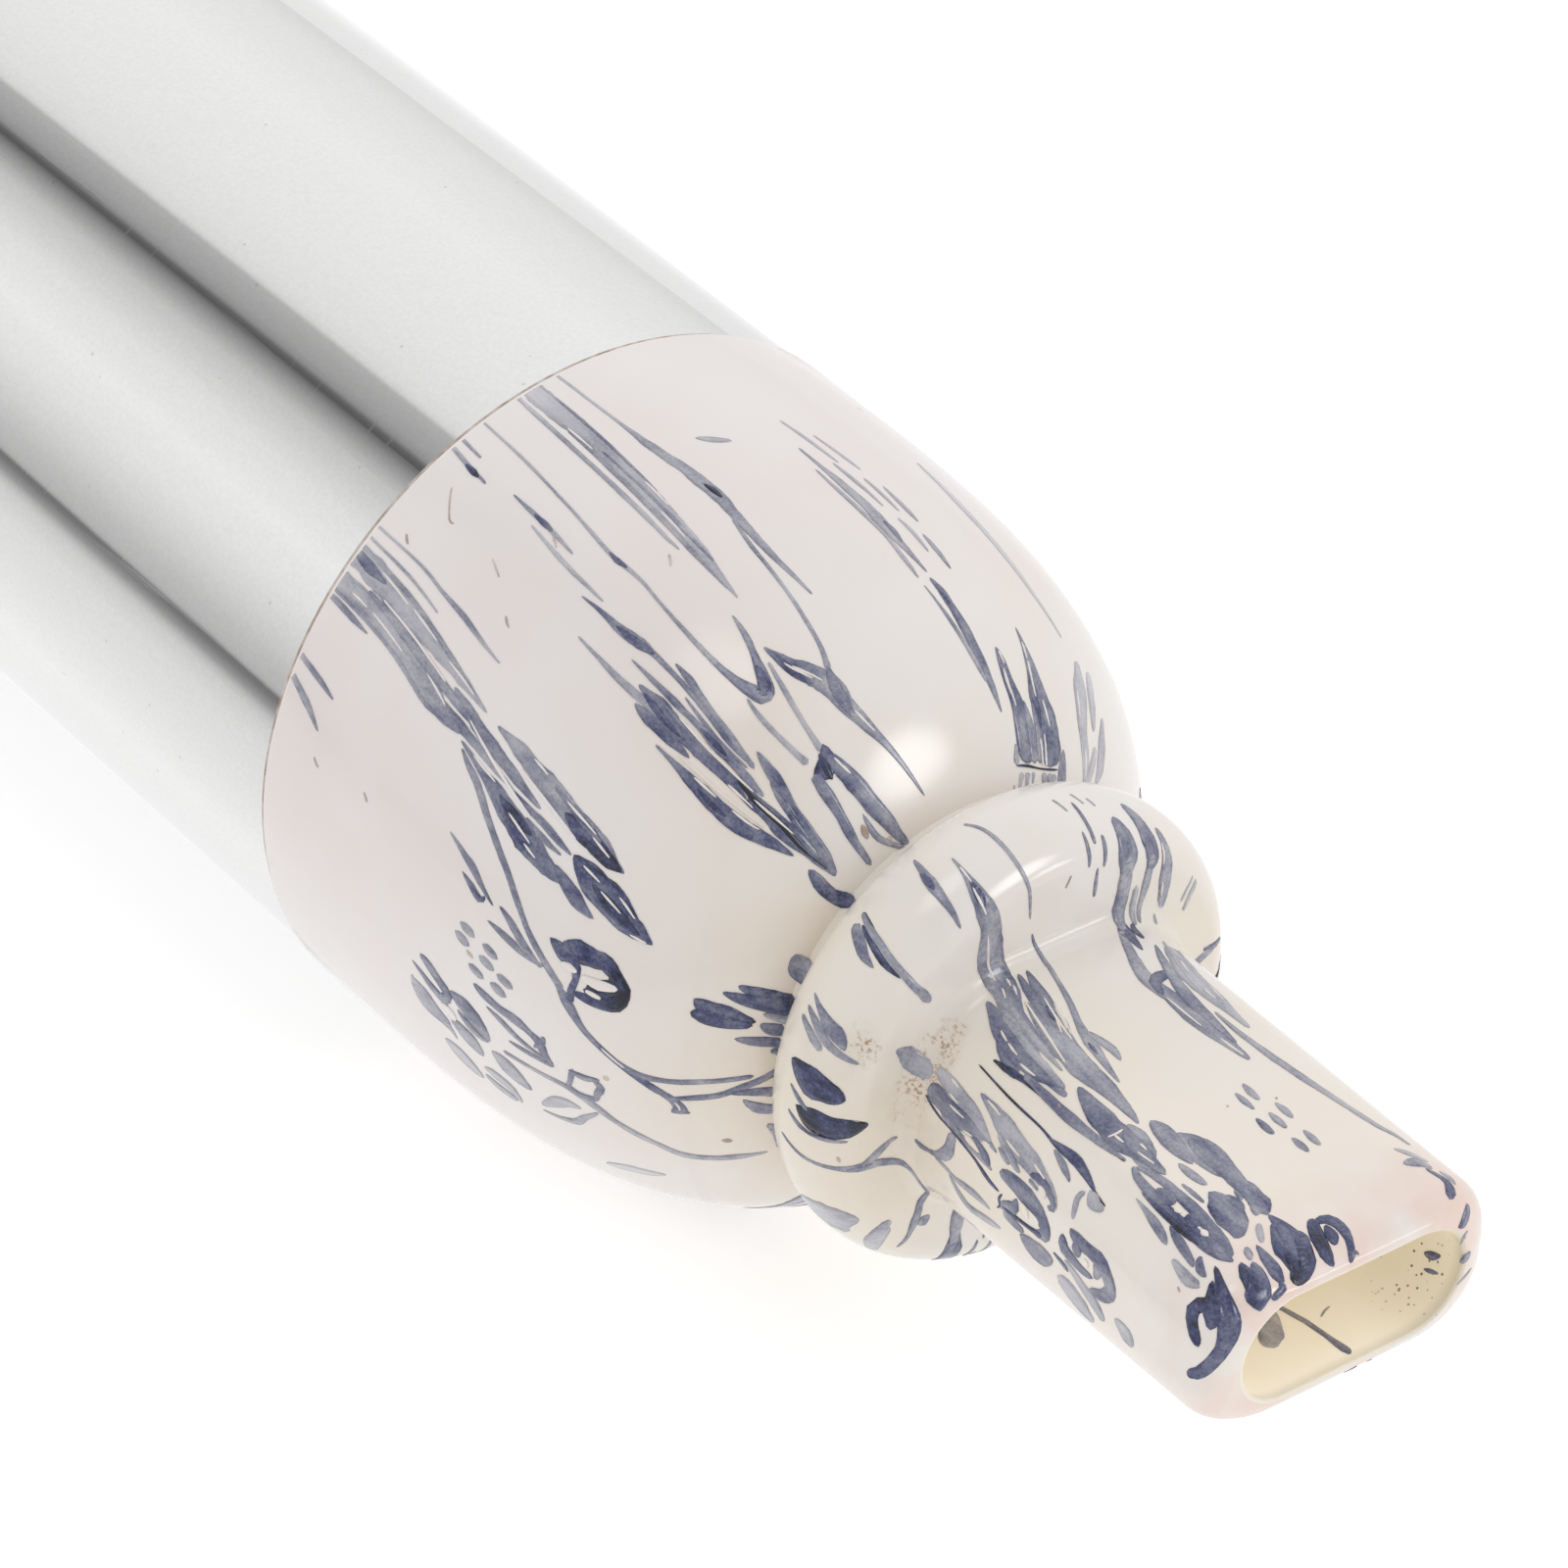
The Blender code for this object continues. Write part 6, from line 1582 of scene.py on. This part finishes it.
# Holes: how far down from their pipe's shoulder, and the vents up from the foot's
FINGER_HOLES, THUMB_HOLE, LAST_HOLE, VENTS = (0.028, 0.050, 0.072, 0.098, 0.119, 0.140), 0.017, 0.033, 0.016


def upper_ends(sizes):
    """Where the upper pipe's shoulders are, counted from the joint plane."""
    return UPPER_TOP - sizes.tenon_length, UPPER_END + sizes.tenon_length


def lower_ends(sizes):
    return RING_TOP, LOWER_END + sizes.foot_socket


def upper_holes(sizes):
    top = upper_ends(sizes)[0]
    fingers = [(top - distance, (0, 1), sizes.hole_radius) for distance in FINGER_HOLES]
    return fingers + [(top - THUMB_HOLE, (0, -1), sizes.hole_radius)]


def lower_holes(sizes):
    top, end = lower_ends(sizes)
    vents = [(end + VENTS, (side, 0), sizes.vent_radius) for side in (1, -1)]
    return [(top - LAST_HOLE, (0, 1), sizes.hole_radius)] + vents


class BAWU_OT_foot(Operator):
    """Turn the flared foot and its metal ferrule"""
    bl_idname = "bawu.foot"
    bl_label = "Foot"

    def execute(self, context):
        sizes, _ = settings(context)
        bell = turned("foot_flare", foot_outline(sizes), sizes.sides)
        place_piece(bell, "foot", "ivory_plastic", [finished("ivory", context)], "foot_bell")
        radius = sizes.dome_radius
        ring = metal_ring("foot_rim", sizes, RIM_TOP, RIM_END, radius - RIM_WALL, radius)
        place_piece(ring, "foot", "nickel_silver", [finished("nickel", context)], "foot_ferrule")
        return {"FINISHED"}


def foot_outline(sizes):
    rim_top, seat = RIM_TOP + sizes.gap, sizes.dome_radius - RIM_WALL - sizes.gap
    waist, socket_floor = BELL_TOP - sizes.foot_waist, BELL_TOP - sizes.foot_socket
    outline = end_bead(sizes, BELL_TOP, -1)
    outline += easing((waist, sizes.body_radius), (rim_top, sizes.dome_radius - sizes.edge))
    outline += [(rim_top, seat), (BELL_END, seat)]
    outline += easing((BELL_END, sizes.foot_mouth), (socket_floor, sizes.bore_radius), 16)
    return outline + [(socket_floor, sizes.socket_radius), (BELL_TOP, sizes.socket_radius)]


# How far the print stays clear of the turned beads, the ferrule, the lower pipe's end and the foot's rim
BEAD_CLEAR, FERRULE_CLEAR, END_CLEAR, RIM_CLEAR = 0.0006, 0.0012, 0.0008, 0.0008
# Points of the foot's outline on its turned bead, which isn't printed
FOOT_BEAD_POINTS = 5


class BAWU_OT_pipe_print(Operator):
    """Print the same brush strokes on the shoulder, pipes and foot, clear of the holes"""
    bl_idname = "bawu.pipe_print"
    bl_label = "Pipe pattern"

    def execute(self, context):
        sizes, _ = settings(context)
        ink, rim = finished("ink", context), SLEEVE_END - sizes.gap
        (upper_top, upper_end), (_, lower_end) = upper_ends(sizes), lower_ends(sizes)
        inset, body = sizes.bead_ring_length + BEAD_CLEAR, sizes.body_radius
        neck = (COLLAR_TOP + sizes.gap, sizes.shoulder_foot)
        shoulder = [(rim, sizes.dome_radius), *easing((rim - sizes.shoulder_rim, sizes.dome_radius), neck)]
        flare = [p for p in foot_outline(sizes) if p[1] >= body - 1e-6][FOOT_BEAD_POINTS:-1]
        flare = [p for p in flare if p[0] > RIM_TOP + RIM_CLEAR]
        upper = straight_skin(upper_top - inset, upper_end + inset, body)
        lower = straight_skin(RING_END - FERRULE_CLEAR, lower_end + END_CLEAR, body)
        for name, skin, seed, turn, holes, ridden in (
                ("shoulder_print", Skin(circles(shoulder)), 11, 215, (), "head"),
                ("upper_pipe_print", upper, 23, 40, upper_holes(sizes), "upper_body"),
                ("lower_pipe_print", lower, 31, 300, lower_holes(sizes), "foot"),
                ("foot_print", Skin(circles(flare)), 47, 150, (), "foot")):
            place_piece(carried_on(name, skin, seed, turn, holes), ridden, "ivory_plastic", [ink])
        return {"FINISHED"}


# How the dome's pattern repeats on the pipes: length in millimetres and turn in degrees from block to block,
# the dome's millimetres per degree, and the room left round holes
BLOCK_LENGTH, BLOCK_TURN, DOME_DEGREE, HOLE_MARGIN = 26.5, 118, 0.265, 0.5
# Strokes cut by the dome's joint start thin here, up to this many millimetres earlier
BLOCK_LEAD = 7
# The dome's strokes in each block, and the turn of the second copies of some
BLOCK_STROKES = (*((strokes, 0) for strokes in DOME_PATTERN), (DOME_FRONT, 195), (DOME_STEMS, 212))
# The angle of the dome's pattern round which a block is widened on a narrower piece
BLOCK_MIDDLE = 130


def straight_skin(start, end, radius, steps=40):
    return Skin(circles((start + (end - start) * i / steps, radius) for i in range(steps + 1)))


def carried_on(name, skin, seed, turn, holes):
    """The dome's pattern carried on along a piece, block after block, and clear of its holes."""
    ink = Print(skin, seed)
    reach = skin.stations[-1]

    def clear(station, angle, half):
        for place, (y, z), hole in holes:
            ds = station - abs(skin.sections[0][0] - place) / MM
            da = ((angle - math.degrees(math.atan2(z, y)) + 180) % 360 - 180) * skin.per_degree(station)
            if math.hypot(ds, da) < hole / MM + half + HOLE_MARGIN:
                return False
        return half < station < reach - half

    for block in range(math.ceil(reach / BLOCK_LENGTH)):
        start = block * BLOCK_LENGTH
        for strokes, extra in BLOCK_STROKES:
            for tone, *points in strokes:
                if ink.cut(points):
                    lead = ink.random.uniform(0.2, 1.0) * BLOCK_LEAD
                    points = [(-lead, points[0][1], 0.04), *points]
                moved = []
                for station, angle, half in points:
                    degree = skin.per_degree(min(max(start + station, 1), reach - 1))
                    widened = (angle - BLOCK_MIDDLE) * DOME_DEGREE / degree
                    moved.append((start + station, turn + extra + block * BLOCK_TURN + widened, half))
                if all(clear(*point) for point in moved):
                    ink.stroke(moved, tone, cell=0.5)
    return ink.closed(name)


class BAWU_OT_works(Operator):
    """Finish the corks, reed tube, reed and bands that the frame already shapes"""
    bl_idname = "bawu.works"
    bl_label = "Corks and reed"

    def execute(self, context):
        kinds = {"cork": ("cap_cork", "upper_cork", "lower_cork"), "ivory": ("reed_tube", "reed_tube_plug"),
                 "gasket": ("reed_seal",), "brass": ("reed_plate", "reed_tongue"),
                 "rubber": ("reed_band_front", "reed_band_rear")}
        for kind, nodes in kinds.items():
            for node in nodes:
                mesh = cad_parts[node].data
                mesh.materials.clear()
                mesh.materials.append(finished(kind, context))
        return {"FINISHED"}


# Studio

CAMERA_RIGHT = Vector((0.6166, 0.7837, 0.0746))
CAMERA_DOWN = Vector((0.5046, -0.3207, -0.8016))
CAMERA_AHEAD = Vector((-0.6043, 0.5319, -0.5932))
CAMERA_PLACE = Vector((0.3646, -0.1628, 0.2005))
CAMERA_LENS, CAMERA_SENSOR = 173.8, 36.0
CAMERA_CLIPS = 0.01, 20.0
# The floor's half side, its drop below the part, and how much it glows for the camera and for diffuse light
FLOOR_REACH, FLOOR_DROP, FLOOR_GLOW, FLOOR_BOUNCE = 4.0, 0.0001, 0.42, 0.25

# Side the soft light is dimmest from: the photographer's, a little low and left
DIM_SIDE = 0.40 * CAMERA_DOWN - 0.40 * CAMERA_RIGHT - CAMERA_AHEAD
# The soft light's level from the side opposite, in between and from there, and where the middle lies on a
# scale of -1 to 1
LIGHT_FAR, LIGHT_MIDDLE, LIGHT_NEAR, DIM_MIDDLE = 0.45, 1.28, 0.50, -0.2
WHITE = (1, 1, 1)

# Brightness the polished metal mirrors, by angle in degrees round the pipe: (angle, level)
STUDIO_BANDS = (
    (2, 0.80), (13, 0.88), (46, 0.98), (80, 0.93), (95, 0.87), (101, 0.80), (102.4, 0.51), (106, 0.45),
    (110, 0.40), (112.4, 0.33), (114.2, 0.12), (115.6, 0.11), (117, 0.24), (121, 0.43), (125, 0.62),
    (132, 0.75), (139, 0.87), (153, 0.97), (166, 0.89), (176, 0.76), (186, 0.60), (192.5, 0.53), (194, 0.20),
    (195.6, 0.22), (198.6, 0.37), (200.6, 0.57), (203, 0.71), (211, 0.83), (252, 1.02), (292, 0.96),
    (317, 1.08), (345, 0.90),
)
# Softboxes that the plastic mirrors: direction, inner and outer radius in degrees, added level
SOFTBOXES = (
    ((0.778, 0.315, 0.543), 3, 17, 7.0),
    ((0.842, 0.525, 0.122), 2, 7, 5.0),
    ((-0.044, -0.273, 0.961), 2, 16, 2.2),
)


class BAWU_OT_stage(Operator):
    """Lay the floor, light the studio and set the camera where the photo was taken"""
    bl_idname = "bawu.stage"
    bl_label = "Stage"

    def execute(self, context):
        scene = context.scene
        lay_floor()
        light_studio(scene)
        data = bpy.data.cameras.new("photo_camera")
        data.lens, data.sensor_width = CAMERA_LENS, CAMERA_SENSOR
        data.clip_start, data.clip_end = CAMERA_CLIPS
        camera = add_object("photo_camera", data)
        turn = Matrix((CAMERA_RIGHT, -CAMERA_DOWN, -CAMERA_AHEAD)).transposed().to_4x4()
        camera.matrix_world = Matrix.Translation(CAMERA_PLACE) @ turn
        scene.camera = camera
        scene.view_settings.view_transform = "Standard"
        return {"FINISHED"}


def lay_floor():
    bm = bmesh.new()
    bmesh.ops.create_grid(bm, x_segments=1, y_segments=1, size=FLOOR_REACH)
    bmesh.ops.translate(bm, verts=bm.verts, vec=(0, 0, -FLOOR_DROP))
    floor = close("studio_floor", bm)
    w = Finish("Studio floor", 0.6)
    path = w.node("LightPath").outputs
    bounce = w.times(path["Is Diffuse Ray"], FLOOR_BOUNCE)
    glow = w.maths("MULTIPLY_ADD", path["Is Camera Ray"], FLOOR_GLOW, bounce)
    w.look(base_color=w.mix(w.noise(w.place(), 40.0), [0.93] * 3, [0.95] * 3), emission_color=WHITE,
           emission_strength=glow)
    w.shader.inputs["Specular IOR Level"].default_value = 0.0
    floor.data.materials.append(w.material)
    floor.visible_glossy = False


def light_studio(scene):
    scene.world = bpy.data.worlds.new("Studio")
    scene.world.use_nodes = True
    w = Wiring(scene.world.node_tree)
    direction = w.node("TexCoord").outputs["Generated"]
    axis = w.parts(direction)
    bands = w.node("ValToRGB")
    stops = bands.color_ramp.elements
    while len(stops) < len(STUDIO_BANDS):
        stops.new(0.5)
    for stop, (angle, level) in zip(stops, STUDIO_BANDS):
        stop.position, stop.color = angle / 360, rgba([level] * 3)
    turn = w.maths("DIVIDE", w.maths("ARCTAN2", axis["Z"], axis["Y"]), math.tau)
    mirrored = w.fed(bands, w.maths("FRACT", turn)).outputs["Color"]
    for way, inner, outer, extra in SOFTBOXES:
        lamp = w.vectors("DOT_PRODUCT", direction, Vector(way).normalized())
        limits = math.cos(math.radians(outer)), math.cos(math.radians(inner)), 0.0, extra
        mirrored = w.plus(mirrored, w.spread(lamp, *limits, interpolation_type="SMOOTHSTEP"))
    towards = w.vectors("DOT_PRODUCT", direction, DIM_SIDE.normalized())
    soft = w.maths("MINIMUM", w.spread(towards, -1.0, DIM_MIDDLE, LIGHT_FAR, LIGHT_MIDDLE),
                   w.spread(towards, DIM_MIDDLE, 1.0, LIGHT_MIDDLE, LIGHT_NEAR))
    path = w.node("LightPath").outputs
    level = w.mix(path["Is Glossy Ray"], soft, mirrored)
    w.feed(w.tree.nodes["Background"].inputs["Color"], w.mix(path["Is Camera Ray"], level, WHITE))


class BAWU_PT_panel(Panel):
    """Build steps and settings"""
    bl_idname = "BAWU_PT_panel"
    bl_label = "Bawu"
    bl_space_type = "VIEW_3D"
    bl_region_type = "UI"
    bl_category = "Bawu"

    def draw(self, context):
        for operator in OPERATORS:
            self.layout.operator(operator.bl_idname)
        for group in settings(context):
            for name in group.__annotations__:
                self.layout.prop(group, name)


OPERATORS = (BAWU_OT_cap, BAWU_OT_cap_print, BAWU_OT_head, BAWU_OT_pipes, BAWU_OT_foot, BAWU_OT_pipe_print,
             BAWU_OT_works, BAWU_OT_stage)
CLASSES = (BawuSizes, BawuColours, *OPERATORS, BAWU_PT_panel)


def register():
    for kind in CLASSES:
        bpy.utils.register_class(kind)
    bpy.types.Scene.bawu_sizes = PointerProperty(type=BawuSizes)
    bpy.types.Scene.bawu_colours = PointerProperty(type=BawuColours)


def unregister():
    del bpy.types.Scene.bawu_colours
    del bpy.types.Scene.bawu_sizes
    for kind in reversed(CLASSES):
        bpy.utils.unregister_class(kind)


def main():
    register()
    for operator in OPERATORS:
        getattr(bpy.ops.bawu, operator.bl_idname.split(".")[1])()


if __name__ == "__main__":
    main()
